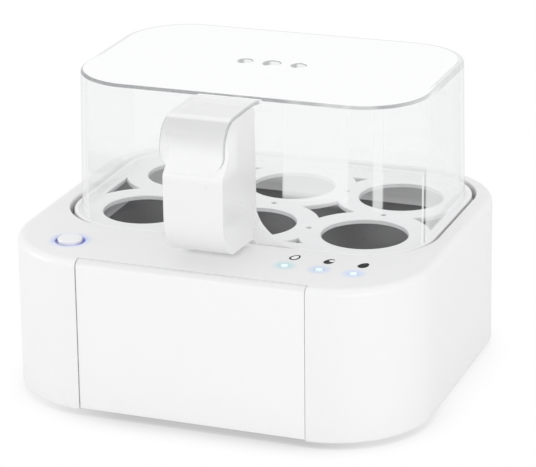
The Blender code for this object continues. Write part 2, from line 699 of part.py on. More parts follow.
def build_tray():
    origin = (0.0, WELL_Y, TRAY_TOP)

    def ring(inset, z):
        return well(TRAY_HALF_W - inset, TRAY_HALF_D - inset, TRAY_CORNER_R - inset, z)

    tray = loft("egg_tray", [
        ring(0.5, TRAY_BOTTOM),
        ring(0.0, TRAY_BOTTOM + 0.5),
        ring(0.0, BEAD_TOP - 0.8),
        ring(0.9, BEAD_TOP),
        ring(BEAD_WIDTH - 0.8, BEAD_TOP),
        ring(BEAD_WIDTH, BEAD_TOP - 0.8),
        ring(BEAD_WIDTH, TRAY_TOP),
    ], origin=origin)
    lattice = [well(LATTICE_HALF_W, LATTICE_HALF_D, LATTICE_CORNER_R, z) for z in (TRAY_BOTTOM - 2.0, TRAY_TOP + 2.0)]
    openings = loft("lattice_openings", lattice)
    for place, centre in enumerate(egg_places()):
        disc = ((EGG_RING_R, TRAY_BOTTOM - 4.0), (EGG_RING_R, TRAY_TOP + 4.0))
        cut(openings, turned(f"egg_ring_{place}", disc, centre, 32))
    cut(tray, openings)
    for place, centre in enumerate(egg_places()):
        hole = (
            (EGG_HOLE_R, TRAY_BOTTOM - 2.0),
            (EGG_HOLE_R, TRAY_TOP - EGG_CHAMFER),
            (EGG_HOLE_R + EGG_CHAMFER, TRAY_TOP),
            (EGG_HOLE_R + EGG_CHAMFER + 1.5, TRAY_TOP + 1.5),
        )
        cut(tray, turned(f"egg_hole_{place}", hole, centre, 28))
    half_x = EGG_PITCH_X / 2.0
    half_y = EGG_PITCH_Y / 2.0
    dimples = [(x, WELL_Y + y) for x in (-half_x, half_x) for y in (-half_y, half_y)]
    dimples += [(x, WELL_Y) for x in (-EGG_PITCH_X, 0.0, EGG_PITCH_X)]
    for place, centre in enumerate(dimples):
        dimple = ((DIMPLE_R * 0.5, TRAY_TOP - DIMPLE_DEPTH), (DIMPLE_R + 0.6, TRAY_TOP + 0.6))
        cut(tray, turned(f"dimple_{place}", dimple, centre, 6))
    finish(tray, WHITE, 0.35)

    profile = [(HANDLE_BACK, HANDLE_ROOT_Z), (HANDLE_BACK - HANDLE_LEAN, HANDLE_TOP - 1.6)]
    profile += [(-43.0, HANDLE_TOP - 0.6), (-48.5, HANDLE_TOP), (-68.0, HANDLE_TOP)]
    profile += [(-72.5, 138.2), (-75.6, 135.6), (-76.6, SCOOP_TOP)]
    middle = (SCOOP_TOP + SCOOP_BOTTOM) / 2.0
    for step in range(1, 6):
        share = step / 6.0
        z = SCOOP_TOP + share * (SCOOP_BOTTOM - SCOOP_TOP)
        lean = -76.6 + share * (HANDLE_FRONT + 2.0 + 76.6)
        turn = math.pi * (z - middle) / (SCOOP_TOP - SCOOP_BOTTOM)
        profile.append((lean + SCOOP_DEPTH * math.cos(turn), z))
    profile += [(HANDLE_FRONT + 2.0, SCOOP_BOTTOM), (HANDLE_FRONT, SCOOP_BOTTOM - 1.6), (HANDLE_FRONT, 95.8)]
    profile += [(-80.0, 91.6), (-77.8, 87.0), (-74.4, 82.6), (-70.4, 79.8), (-66.0, HANDLE_BELLY_Z)]
    foot_front = HANDLE_BACK - HANDLE_FOOT_DEPTH
    profile += [(-47.0, 77.2), (-43.2, 75.8), (-42.0, 74.8), (foot_front - 0.1, HANDLE_ROOT_Z)]
    handle = prism_x("tray_handle", profile, HANDLE_HALF_W, origin)
    right = [(HANDLE_HALF_W - 0.8, FLARE_TOP)]
    for step in range(FLARE_STEPS + 1):
        angle = math.radians(FLARE_START + (FLARE_END - FLARE_START) * step / FLARE_STEPS)
        half = FLARE_CENTRE_X - FLARE_RADIUS_X * math.cos(angle)
        right.append((half, FLARE_TOP - FLARE_RADIUS_Z * math.sin(angle)))
    right.append((right[-1][0], HANDLE_ROOT_Z))
    outline = right + [(-x, z) for x, z in reversed(right)]
    slope = HANDLE_LEAN / (HANDLE_TOP - 1.6 - HANDLE_ROOT_Z)
    join(handle, loft("handle_foot", [
        [(x, foot_front, z) for x, z in outline],
        [(x, HANDLE_BACK - 0.1 - slope * (z - HANDLE_ROOT_Z), z) for x, z in outline],
    ]))
    hollow_half = HANDLE_HALF_W - HANDLE_WALL
    cut(handle, block("handle_hollow", (-hollow_half, -66.0, 60.0), (hollow_half, -46.0, 116.0)))
    bevel = handle.modifiers.new("edge", "BEVEL")
    bevel.width = 0.7 * MM
    bevel.segments = 2
    bevel.limit_method = "ANGLE"
    bevel.angle_limit = math.radians(50.0)
    finish(handle, WHITE, 0.3)


def tongue_path():
    """Outer (y, z) points of the grip tongue, from the lid to the tip, each with its outward normal."""
    start = [(-30.5, 138.9), (-36.0, 140.3), (-41.0, 141.1), (-48.5, TONGUE_TOP)]
    path = [(point, (0.0, 1.0)) for point in start]
    centre_y = TONGUE_FRONT + TONGUE_BEND_R
    centre_z = TONGUE_TOP - TONGUE_BEND_R
    for step in range(7):
        angle = math.radians(90.0 * step / 6)
        normal = (-math.sin(angle), math.cos(angle))
        path.append(((centre_y + TONGUE_BEND_R * normal[0], centre_z + TONGUE_BEND_R * normal[1]), normal))
    for step in range(6):
        angle = math.radians(90.0 * step / 5)
        z = TONGUE_TIP_Z + TONGUE_TIP_R * (1.0 - math.sin(angle))
        path.append(((TONGUE_FRONT, z), (-1.0, 0.0)))
    return path


def build_lid():
    origin = (0.0, WELL_Y, LID_BOTTOM)

    def ring(inset, z):
        share = (LID_TOP - z) / (LID_TOP - LID_BOTTOM)
        half_w, half_d, radius = (
            top + share * flare - inset
            for top, flare in zip((LID_HALF_W, LID_HALF_D, LID_CORNER_R), LID_FLARE)
        )
        return rounded(half_w, half_d, radius, z, (0.0, WELL_Y), FINE_STEPS)

    lid = loft("lid", [
        ring(LID_WALL, LID_TOP - LID_WALL),
        ring(LID_WALL, LID_BOTTOM),
        ring(0.0, LID_BOTTOM),
        ring(0.0, LID_TOP - LID_EDGE_R),
        ring(LID_EDGE_R * 0.3, LID_TOP - LID_EDGE_R * 0.3),
        ring(LID_EDGE_R, LID_TOP),
    ], origin=origin)
    rings = []
    for (y, z), (normal_y, normal_z) in tongue_path():
        drop = max(0.0, TONGUE_TIP_Z + TONGUE_TIP_R - z)
        half = TONGUE_HALF_W - TONGUE_TIP_R + math.sqrt(max(TONGUE_TIP_R**2 - drop**2, 0.0))
        inner_y = y - normal_y * TONGUE_THICK
        inner_z = z - normal_z * TONGUE_THICK
        rings.append([(-half, y, z), (half, y, z), (half, inner_y, inner_z), (-half, inner_y, inner_z)])
    join(lid, loft("lid_tongue", rings))
    for place, (x, radius) in enumerate(VENTS):
        vent = ((radius, LID_TOP - 6.0), (radius, LID_TOP + 4.0))
        cut(lid, turned(f"vent_{place}", vent, (x, VENT_Y), 16))
    finish(lid, (1.0, 1.0, 1.0), 0.03, transmission=1.0)


clear_scene()
build_housing()
build_fascia()
build_base_plate()
build_cord()
build_bowl()
build_controls()
build_tray()
build_lid()
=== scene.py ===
"""Six-egg electric cooker: the finished visual model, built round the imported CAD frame.

Lengths are in millimetres until new_object() scales them to metres. The front faces -Y and +Z is up.
"""

import math

import bmesh
import bpy
from mathutils import Euler, Matrix, Vector


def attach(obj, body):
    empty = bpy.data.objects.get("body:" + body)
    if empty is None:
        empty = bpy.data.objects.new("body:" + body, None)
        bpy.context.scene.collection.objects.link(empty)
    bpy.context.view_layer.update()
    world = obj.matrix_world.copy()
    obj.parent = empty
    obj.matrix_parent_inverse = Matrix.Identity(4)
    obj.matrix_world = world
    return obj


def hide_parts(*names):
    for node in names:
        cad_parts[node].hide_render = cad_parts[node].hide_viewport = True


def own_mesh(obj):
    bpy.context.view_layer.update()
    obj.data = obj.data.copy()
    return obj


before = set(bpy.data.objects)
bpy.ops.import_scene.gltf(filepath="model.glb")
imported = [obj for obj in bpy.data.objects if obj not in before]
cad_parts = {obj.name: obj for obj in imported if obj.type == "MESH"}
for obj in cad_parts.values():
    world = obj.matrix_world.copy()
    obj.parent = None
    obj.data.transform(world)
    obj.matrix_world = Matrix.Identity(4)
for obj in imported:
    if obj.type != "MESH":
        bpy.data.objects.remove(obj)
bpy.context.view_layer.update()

MM = 0.001

# Base body
BODY_HALF_W = 98.5
BODY_HALF_D = 89.0
BODY_CORNER_R = 45.0
BODY_BOTTOM = 2.6
DECK_TOP = 74.3
DECK_UNDER = 72.1
BODY_DRAFT = -0.4
BODY_EDGE_R = 3.5
CAVITY = (96.0, 85.2, 42.5)
CAVITY_Y = 1.3

# Recess
WELL_Y = 20.7
WELL = (89.7, 62.9, 35.0)
WELL_EDGE_R = 0.9
LEDGE = (85.6, 59.6, 33.0)
LEDGE_TOP = 66.6
LEDGE_BOTTOM = 63.4
SKIRT = (91.7, 64.9, 37.0)

# Front panel
PANEL_HALF_W = 54.0
PANEL_SINK = 0.4
PANEL_LIP_SINK = 0.1
PANEL_THICK = 1.7
PANEL_LIP_BACK = -84.2
PANEL_LIP_BOTTOM = 72.8
PANEL_BOTTOM = 3.4
GROOVE = 0.33
POCKET_GAP = 0.3
POCKET_LIP_GAP = 0.15
POCKET_FRONT = -120.0
POCKET_LOW = -2.0
POCKET_HIGH = 90.0

# Cord notch at the back: its outline as x and z, and how far it cuts
NOTCH = ((-5.0, -2.0), (5.0, -2.0), (5.0, 7.0), (3.0, 9.0), (-3.0, 9.0), (-5.0, 7.0))
NOTCH_Y = (77.0, 95.0)

# Controls
BUTTON_X = -67.3
CONTROL_Y = -64.3
BUTTON_R = 5.7
BUTTON_TOP = 75.9
BUTTON_STEM_R = 1.5
BUTTON_STEM_BOTTOM = 68.9
BUTTON_FLANGE_R = 7.3
BUTTON_FLANGE_Z = (70.4, 71.5)
BUTTON_HOLE_R = 8.0
HOLE_LOW = 60.0
RING_INNER_R = 6.1
RING_OUTER_R = 7.7
RING_BOTTOM = 71.9
RING_TOP = 74.0
SPRING_MEAN_R = 5.0
SPRING_WIRE_R = 0.3
SPRING_BOTTOM = 63.4
SPRING_TOP = 69.7
SPRING_TURNS = 4.5
LIGHTS = (("soft", 36.2), ("medium", 52.3), ("hard", 68.2))
LENS_R = 1.9
LENS_HOLE_R = 2.2
LENS_BOTTOM = 65.6
LENS_TOP = 74.5
ICON_SHIFT_X = 1.1
ICON_SHIFT_Y = 10.9
ICON_LONG = 3.3
ICON_SHORT = 2.2
ICON_TURN = math.radians(75.0)
ICON_LINE = 0.9
# The white part of an open symbol: how far it is moved, and how much shorter and narrower it is
ICON_HOLES = {"soft": (0.0, 0.0, 0.0), "medium": (0.9, 1.1, 0.2)}
INK_LOW = 0.02
INK_HIGH = 0.07

# Bowl
BOWL = (84.0, 58.0, 31.2)
BOWL_FLANGE = (88.4, 61.6, 34.0)
BOWL_WALL = 0.8
BOWL_FLOOR = 56.3
BOWL_RIM = 69.0
BOWL_FOOT_R = 3.8

# Tray
TRAY = (87.7, 61.0, 33.0)
TRAY_BOTTOM = 69.4
TRAY_TOP = 71.6
BEAD_TOP = 73.5
BEAD_WIDTH = 2.3
EGG_PITCH_X = 54.3
EGG_PITCH_Y = 55.0
EGG_HOLE_R = 20.0
EGG_RING_R = 30.75
LATTICE = (81.5, 48.3, 27.0)
EDGE_R = 0.6
DIMPLE_R = 1.6

# Handle
HANDLE_HALF_W = 14.0
HANDLE_BACK = -39.3
HANDLE_LEAN = 1.2
HANDLE_FOOT_DEPTH = 2.2
HANDLE_FOOT_Z = 72.6
HANDLE_FRONT = -80.8
HANDLE_TOP = 139.2
SCOOP_TOP = 134.5
SCOOP_BOTTOM = 117.8
SCOOP_DEPTH = 5.0
SCOOP_UPPER_Y = -76.6
SCOOP_STEPS = 14
HANDLE_SHOULDER_DROP = 1.6
HANDLE_NOSE = (-67.6, 128.6)
HANDLE_NOSE_R = 10.6
HANDLE_CHIN = (-66.3, 96.5)
HANDLE_CHIN_R = (14.5, 18.2)
HANDLE_HEEL = ((-47.0, 77.4), (-43.8, 76.6), (-42.4, 75.4))
HANDLE_HEEL_Z = 74.2
HANDLE_WALL = 2.6
HOLLOW_Y = (-66.0, -46.0)
HOLLOW_Z = (60.0, 116.0)
FLARE_TOP = 92.0
FLARE_CENTRE_X = 40.0
FLARE_RADIUS_X = 26.0
FLARE_RADIUS_Z = 19.2
FLARE_START = 12.0
FLARE_END = 75.5

# Lid
LID = (84.2, 54.4, 31.0)
LID_FLARE = (0.6, 2.8, 0.2)
LID_BOTTOM = 71.9
LID_TOP = 140.4
LID_WALL = 2.0
LID_EDGE_R = 1.6
VENTS = ((-13.2, 3.6), (0.0, 4.3), (13.2, 3.6))
VENT_Y = 19.7
TONGUE_HALF_W = 15.1
TONGUE_THICK = 2.0
TONGUE_TOP = 141.7
TONGUE_FRONT = -81.4
TONGUE_BEND_R = 13.2
TONGUE_TIP_Z = 118.5
TONGUE_TIP_R = 9.0
TONGUE_ROOT = (
    (-30.0, 138.9), (-33.0, 139.5), (-36.0, 140.2),
    (-40.0, 140.95), (-44.0, 141.4), (-48.5, 141.65),
)

# Colours and light
WHITE = (0.80, 0.80, 0.80)
STEEL = (0.60, 0.60, 0.61)
HALO_TINTS = ((0.76, 0.94, 0.97), (0.80, 0.88, 1.04), (0.82, 0.90, 1.10))
LENS_HALO_REACH = (2.6, 7.0)
BUTTON_HALO = (0.84, 0.88, 1.05)
BUTTON_HALO_REACH = (7.8, 11.5)
BUTTON_HALO_STRENGTH = 0.9
LENS_GLOW = (0.72, 0.93, 1.0)
LENS_GLOW_STRENGTH = 0.72
CHIP_GLOW = (0.6, 0.85, 1.0)
CHIP_GLOW_STRENGTH = 0.5
LENS_EDGE_GLOW = (0.55, 0.66, 0.72)
RING_RIM = (0.62, 0.68, 0.92)
RING_RIM_REACH = (6.9, 7.5)
RING_INK = (0.015, 0.014, 0.03)
RING_ACROSS = (-2.0, 6.0)
RING_TOWARD = (-1.5, -6.0)
RING_COLOURS = ((0.05, 0.045, 0.24), (0.06, 0.07, 0.30), (0.30, 0.31, 0.47), (0.50, 0.49, 0.76))
PANEL_LIP_SHADE = (0.90, 0.90, 0.90)
PANEL_LIP_UPWARD = (0.25, 0.75)
PIT_SHADE = (0.35, 0.35, 0.35)
PIT_DEPTH = (0.4, 0.9)
PIT_UPWARD = (0.1, 0.2)
BOWL_COATING = ((0.085, 0.085, 0.088), (0.105, 0.105, 0.108))
BOWL_COATED = 1.0
BOWL_METALLIC = 0.35
BOWL_GLINT = 0.15
BOWL_GLINT_Y = (35.0, 60.0, 0.15, 1.0)
# Painted light in the handle's scoop
SCOOP_LIGHT = 0.07
SCOOP_LIGHT_TOP = (138.0, 130.0)
SCOOP_LIGHT_BOTTOM = (113.0, 119.0)
SCOOP_LIGHT_Y = (-60.0, -66.0)
HANDLE_CLEARNESS = 0.85

# Shade on the deck under the handle, wherever the handle hangs over it
HANDLE_SHADE = (0.2, 0.2, 0.2)
HANDLE_SHADE_STRENGTH = 0.5
HANDLE_SHADE_REACH = 60.0
HANDLE_SHADE_OPENNESS = (0.75, 0.45)
HANDLE_SHADE_BACK = (-44.0, -48.0)
HANDLE_SHADE_FRONT = (-65.0, -57.0)
HANDLE_SHADE_SIDE = (15.0, 8.0)

# Looks of the lid. A pair is where a change starts and ends, and two more numbers are its values there.
# A turn is 0 on a surface that faces the camera and 1 on one seen edge on. Upward and sideways are the
# sizes of the normal's z and x.
WALL_TINT = (0.982, 0.985, 0.985)
# Colour of the painted dark lines on the lid's edges, vents, tongue and front right corner
DARK_LINE_SHADE = (0.40, 0.41, 0.42)
THROUGH_TINT = (0.97, 0.97, 0.975)
WALL_LIGHT = (0.925, 0.93, 0.932)
ROOF_LIGHT = (0.978, 0.98, 0.982)
ROOF_DEPTH = 2.5
ROOF_UPWARD = (0.90, 0.97)
WALL_UPWARD = (0.5, 0.3)
FRONT_WALL_Y = (-10.0, -12.0)
TONGUE_ROOT_Y = (-36.5, -38.5)
TONGUE_VEIL = 0.78
TONGUE_EDGE_SIDEWAYS = (0.35, 0.85)
TONGUE_EDGE_Z = (117.0, 124.0)
TONGUE_EDGE_STRENGTH = (0.30, 0.72)
WALL_TURN = (0.55, 0.60)
WALL_VEIL = (0.04, 0.66)
ROOF_TURN = (0.10, 0.60)
ROOF_VEIL = (0.15, 0.975)
# Painted light on the lid: a glare on the front wall that grows upwards, and one low on the inner far wall
FRONT_GLARE = 0.62
FRONT_GLARE_Z = (99.0, 113.0)
FRONT_GLARE_END_X = (57.0, 55.5)
FRONT_GLARE_LEFT = 0.25
FAR_GLARE = 0.6
FAR_GLARE_Z = (88.0, 78.0)
# Noise that makes the painted veil of light patchy
VEIL_PATCH_NOISE = (11.0, 2.0)
VEIL_PATCHES = (0.35, 0.65, 0.94, 1.0)
RIM_UPWARD_LOW = (0.05, 0.25)
RIM_UPWARD_HIGH = (0.985, 0.93)
RIM_AIM = (0.6, 0.8)
RIM_AIM_STRENGTH = (-0.75, 0.5, 0.25, 0.95)
RIM_NOISE = (28.0, 2.0)
RIM_BREAKS = (0.38, 0.5, 0.6, 1.0)
BACK_LINE = (3.4, 2.6)
BACK_LINE_Y = (-5.0, 15.0)
BACK_LINE_STRENGTH = 0.45
VENT_REACH_X = 25.0
VENT_REACH_Y = 8.0
VENT_STRENGTH = 0.75
VENT_SHINE = 0.9
VENT_SHINE_LEFT = (-0.85, -0.6)
VENT_SHINE_RIGHT = (0.7, 0.3)
# Painted highlight and painted dark line where the lid's front right corner bends
CREASE_X = (70.0, 72.0)
CREASE_Y = (4.0, 2.0)
CREASE_Z = (108.0, 102.0)
CREASE_SOFT = 0.005
CREASE_BRIGHT_TURN = (0.48, 0.52)
CREASE_BRIGHT = 0.8
CREASE_DARK_TURN = (0.53, 0.57)
CREASE_DARK = 0.35
BEND_Z = (125.0, 139.5)
BEND_LIGHT = (0.955, 0.71)
BEND_CREST_Z = (140.2, 141.1)
BEND_CREST_LIGHT = 0.94
TONGUE_TOP_LIGHT = 0.865
TONGUE_TOP_UPWARD = (0.985, 0.997)
GLOSS_ROUGH = 0.05
GLOSS_IOR = 1.3
# Softbox reflections in the front wall: x from, x to, edge softness, lowest z, strength
REFLECTIONS = ((25.0, 56.0, 0.6, 95.0, 0.80), (66.5, 70.5, 0.5, 92.0, 0.70))
REFLECTION_FADE = 3.0

# Floor shadow and studio
SHADOW_REACH = 38.0
SHADOW_RANGE = (0.30, 0.74)
SHADOW_DEEPEST = 0.67
SHADOW_GREY = (0.50, 0.50, 0.50)
SHADOW_FADE_Y = (-75.0, -10.0)
SHADOW_BACK = 0.4
SHADOW_LEFT_X = (-85.0, -28.0)
SHADOW_LEFT = 0.3
SHADOW_RIGHT_X = (48.0, 84.0)
SHADOW_RIGHT = 0.62
FLOOR_HALF = 4000.0
SKY_STRENGTH = 0.95
# Area lights: name, place, target, size, watts. Metres.
SOFTBOXES = (
    ("left", (-1.7, -0.5, 0.4), (0.0, 0.0, 0.05), (0.9, 0.7), 6.5),
    ("right", (1.25, -1.25, 0.4), (0.0, 0.0, 0.05), (0.9, 0.7), 6.5),
    ("top", (0.0, 0.2, 1.5), (0.0, 0.0, 0.0), (1.2, 1.2), 1.0),
)

# Camera: focal length, place in metres, and turn round x, y and z in degrees
LENS_MM = 178.64
LENS_SHIFT = (0.07607, 0.00442)
CAMERA_PLACE = (0.41544, -1.09359, 0.48447)
CAMERA_TURN = (70.14986, 0.97825, 21.17647)


# ---------------------------------------------------------------- geometry helpers


def new_object(name, points, faces):
    mesh = bpy.data.meshes.new(name)
    bm = bmesh.new()
    verts = [bm.verts.new(Vector(point) * MM) for point in points]
    for face in faces:
        bm.faces.new([verts[index] for index in face])
    bmesh.ops.recalc_face_normals(bm, faces=bm.faces)
    bm.to_mesh(mesh)
    bm.free()
    obj = bpy.data.objects.new(name, mesh)
    bpy.context.scene.collection.objects.link(obj)
    return obj


def loft(name, rings, closed=False):
    """Skins rings of equal length; an open loft gets end caps."""
    count = len(rings[0])
    points = [point for ring in rings for point in ring]
    faces = []
    for row in range(len(rings) if closed else len(rings) - 1):
        low = row * count
        high = (row + 1) % len(rings) * count
        for i in range(count):
            j = (i + 1) % count
            faces.append((low + i, low + j, high + j, high + i))
    if not closed:
        faces.append(tuple(reversed(range(count))))
        faces.append(tuple(range(len(points) - count, len(points))))
    return new_object(name, points, faces)


def rounded(half_w, half_d, radius, z, centre_y=0.0, steps=16):
    ring = []
    for corner, (side_x, side_y) in enumerate(((1, 1), (-1, 1), (-1, -1), (1, -1))):
        centre_x = side_x * (half_w - radius)
        middle_y = centre_y + side_y * (half_d - radius)
        for step in range(steps + 1):
            angle = math.radians(90.0 * (corner + step / steps))
            ring.append((centre_x + radius * math.cos(angle), middle_y + radius * math.sin(angle), z))
    return ring


def inset_ring(size, inset, z, centre_y=0.0, steps=16):
    half_w, half_d, radius = size
    return rounded(half_w - inset, half_d - inset, radius - inset, z, centre_y, steps)


def circle(radius, z, centre=(0.0, 0.0), steps=64):
    ring = []
    for step in range(steps):
        angle = 2.0 * math.pi * step / steps
        ring.append((centre[0] + radius * math.cos(angle), centre[1] + radius * math.sin(angle), z))
    return ring


def turned(name, profile, centre, steps=64, closed=False):
    return loft(name, [circle(radius, z, centre, steps) for radius, z in profile], closed)


def prism_x(name, profile, half_w):
    return loft(name, [[(x, y, z) for y, z in profile] for x in (-half_w, half_w)])


def block(name, low, high):
    x0, y0, z0 = low
    x1, y1, z1 = high
    return loft(name, [[(x0, y0, z), (x1, y0, z), (x1, y1, z), (x0, y1, z)] for z in (z0, z1)])


def arc(radius, start, end, steps):
    """(cos, sin) * radius from one angle to another, in degrees."""
    turn = []
    for step in range(steps + 1):
        angle = math.radians(start + (end - start) * step / steps)
        turn.append((radius * math.cos(angle), radius * math.sin(angle)))
    return turn


def combine(obj, others, operation):
    """Adds one exact Boolean per shape; finish_mesh() applies them and removes the shapes."""
    for other in others:
        modifier = obj.modifiers.new(operation, "BOOLEAN")
        modifier.operation = operation
        modifier.solver = "EXACT"
        modifier.object = other
        other.hide_render = True
    return obj


def cut(obj, *others):
    return combine(obj, others, "DIFFERENCE")


def join(obj, *others):
    return combine(obj, others, "UNION")


def bevel(obj, width, segments=3, angle=40.0):
    modifier = obj.modifiers.new("bevel", "BEVEL")
    modifier.width = width * MM
    modifier.segments = segments
    modifier.limit_method = "ANGLE"
    modifier.angle_limit = math.radians(angle)
    return obj


def finish_mesh(obj, angle=35.0):
    """Applies every modifier, removes the shapes they used, and shades smooth by angle and face area."""
    used = [m.object for m in obj.modifiers if m.type == "BOOLEAN"]
    graph = bpy.context.evaluated_depsgraph_get()
    mesh = bpy.data.meshes.new_from_object(obj.evaluated_get(graph))
    obj.modifiers.clear()
    obj.data = mesh
    for other in used:
        bpy.data.objects.remove(other, do_unlink=True)
    mesh.shade_smooth()
    mesh.set_sharp_from_angle(angle=math.radians(angle))
    weighted = obj.modifiers.new("normals", "WEIGHTED_NORMAL")
    weighted.keep_sharp = True
    return obj


def place(obj, body, *nodes, slot=None, material=None):
    """Gives the piece its material, hides the CAD nodes it stands for, and puts it on its body."""
    obj.data.materials.clear()
    obj.data.materials.append(material)
    if nodes:
        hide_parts(*nodes)
    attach(obj, body)
    return obj


def front_y(z):
    share = (z - BODY_BOTTOM) / (DECK_TOP - BODY_BOTTOM)
    return -(BODY_HALF_D - BODY_DRAFT * (1.0 - share))


# ---------------------------------------------------------------- materials


class Nodes:
    """A short way to write a node material. Each value is a number, a colour, a vector or a node's socket."""

    def __init__(self, name):
        self.material = bpy.data.materials.new(name)
        self.material.use_nodes = True
        self.tree = self.material.node_tree
        self.shader = self.tree.nodes["Principled BSDF"]
        self.output = self.tree.nodes["Material Output"].inputs["Surface"]

    def feed(self, socket, value):
        if isinstance(value, bpy.types.NodeSocket):
            self.tree.links.new(value, socket)
        elif socket.type == "RGBA":
            socket.default_value = (*value, 1.0)
        else:
            socket.default_value = value

    def add(self, kind, inputs, **settings):
        node = self.tree.nodes.new(kind)
        for key, value in settings.items():
            setattr(node, key, value)
        for key, value in inputs.items():
            self.feed(node.inputs[key], value)
        return node

    def set(self, name, value):
        self.feed(self.shader.inputs[name], value)

    def colour(self):
        """What feeds the shader's colour so far."""
        return self.shader.inputs["Base Color"].links[0].from_socket

    def position(self):
        return self.add("ShaderNodeTexCoord", {}).outputs["Object"]

    def axes(self, vector):
        return self.add("ShaderNodeSeparateXYZ", {0: vector}).outputs

    def place(self):
        """x, y and z in millimetres."""
        scaled = self.add("ShaderNodeVectorMath", {0: self.position(), "Scale": 1.0 / MM}, operation="SCALE")
        return self.axes(scaled.outputs["Vector"])

    def facing_axes(self, kind="Normal"):
        return self.axes(self.add("ShaderNodeNewGeometry", {}).outputs[kind])

    def noise(self, scale, detail=3.0, rough=0.5, vector=None):
        sockets = {"Vector": vector or self.position(), "Scale": scale, "Detail": detail, "Roughness": rough}
        return self.add("ShaderNodeTexNoise", sockets).outputs["Fac"]

    def spread(self, value, low, high):
        """Stretches a noise value to run from low to high."""
        sockets = {"Value": value, "From Min": 0.3, "From Max": 0.7, "To Min": low, "To Max": high}
        return self.add("ShaderNodeMapRange", sockets).outputs["Result"]

    def ramp(self, value, start, end, low=0.0, high=1.0):
        """Low before start, high after end, smooth between; start may be the larger number."""
        if start > end:
            start, end, low, high = end, start, high, low
        sockets = {"Value": value, "From Min": start, "From Max": end, "To Min": low, "To Max": high}
        return self.add("ShaderNodeMapRange", sockets, interpolation_type="SMOOTHSTEP").outputs["Result"]

    def within(self, value, low, high, soft):
        """1 between low and high, 0 outside, with edges this soft."""
        rising = self.ramp(value, low - soft, low + soft)
        return self.times(rising, self.ramp(value, high + soft, high - soft))

    def math(self, operation, *values):
        return self.add("ShaderNodeMath", dict(enumerate(values)), operation=operation).outputs[0]

    def times(self, first, *others):
        for other in others:
            first = self.math("MULTIPLY", first, other)
        return first

    def largest(self, first, *others):
        for other in others:
            first = self.math("MAXIMUM", first, other)
        return first

    def size(self, value):
        return self.math("ABSOLUTE", value)

    def inverse(self, value):
        return self.math("SUBTRACT", 1.0, value)

    def blend(self, factor, first, second):
        """Mixes two numbers by a factor from 0 to 1."""
        change = self.math("SUBTRACT", second, first)
        return self.math("ADD", first, self.math("MULTIPLY", factor, change))

    def length(self, across, along):
        square = self.math("ADD", self.times(across, across), self.times(along, along))
        return self.math("SQRT", square)

    def mix(self, factor, first, second):
        sockets = {"Factor": factor, 6: first, 7: second}
        return self.add("ShaderNodeMix", sockets, data_type="RGBA").outputs[2]

    def multiply(self, first, second):
        sockets = {"Factor": 1.0, 6: first, 7: second}
        return self.add("ShaderNodeMix", sockets, data_type="RGBA", blend_type="MULTIPLY").outputs[2]

    def shade(self, share, tint):
        """Tints the shader's colour where share is 1."""
        self.set("Base Color", self.multiply(self.colour(), self.mix(share, (1.0, 1.0, 1.0), tint)))

    def openness(self, reach):
        """1 under an open sky, 0 where everything within reach is blocked. Millimetres."""
        covered = self.add("ShaderNodeAmbientOcclusion", {"Distance": reach * MM}, samples=16)
        return covered.outputs["AO"]

    def ray(self, kind):
        return self.add("ShaderNodeLightPath", {}).outputs[kind]

    def blend_shaders(self, factor, first, second):
        return self.add("ShaderNodeMixShader", {0: factor, 1: first.outputs[0], 2: second.outputs[0]})

    def bump(self, height, strength, distance, normal=None):
        sockets = {"Height": height, "Strength": strength, "Distance": distance}
        if normal:
            sockets["Normal"] = normal
        return self.add("ShaderNodeBump", sockets).outputs["Normal"]

    def finish(self, surface):
        self.feed(self.output, surface.outputs[0])
        return self.material


def plastic(name, colour, rough=(0.22, 0.32), grain=0.015, coat=0.25, tint=0.985):
    """Moulded plastic: faint flow mottle in the colour, uneven gloss and a fine orange-peel surface."""
    n = Nodes(name)
    flow = n.noise(14.0, 4.0, 0.55)
    darker = tuple(channel * tint for channel in colour)
    n.set("Base Color", n.mix(n.spread(flow, 0.0, 1.0), darker, colour))
    n.set("Roughness", n.spread(n.noise(60.0, 5.0, 0.6), *rough))
    n.set("Coat Weight", coat)
    n.set("Coat Roughness", 0.12)
    peel = n.noise(420.0, 2.0, 0.5)
    grit = n.noise(2600.0, 2.0, 0.5)
    n.set("Normal", n.bump(grit, grain, 0.0002, n.bump(peel, grain * 2.0, 0.0006)))
    return n


def metal(name, colour, rough=(0.25, 0.4), stretch=(1.0, 40.0, 40.0), strength=0.06):
    """Metal with a fine one-way brush."""
    n = Nodes(name)
    scaled = n.add("ShaderNodeMapping", {"Vector": n.position(), "Scale": stretch})
    lines = n.noise(60.0, 4.0, 0.6, scaled.outputs["Vector"])
    darker = tuple(channel * 0.82 for channel in colour)
    n.set("Base Color", n.mix(n.spread(lines, 0.0, 1.0), darker, colour))
    n.set("Roughness", n.spread(lines, *rough))
    n.set("Metallic", 1.0)
    n.set("Normal", n.bump(lines, strength, 0.0002))
    return n


def rubber(name, colour):
    """Matt, faintly mottled and grainy."""
    n = Nodes(name)
    darker = tuple(channel * 0.7 for channel in colour)
    n.set("Base Color", n.mix(n.spread(n.noise(50.0), 0.0, 1.0), darker, colour))
    n.set("Roughness", n.spread(n.noise(120.0), 0.65, 0.9))
    n.set("Normal", n.bump(n.noise(1500.0), 0.2, 0.0002))
    return n


def radial(n, x, y, inner, outer):
    """1 inside the inner radius, 0 outside the outer one, round a vertical axis. Millimetres."""
    here = n.place()
    distance = n.length(n.math("SUBTRACT", here["X"], x), n.math("SUBTRACT", here["Y"], y))
    sockets = {"Value": distance, "From Min": inner, "From Max": outer, "To Min": 1.0, "To Max": 0.0}
    return n.add("ShaderNodeMapRange", sockets, interpolation_type="SMOOTHERSTEP").outputs["Result"]


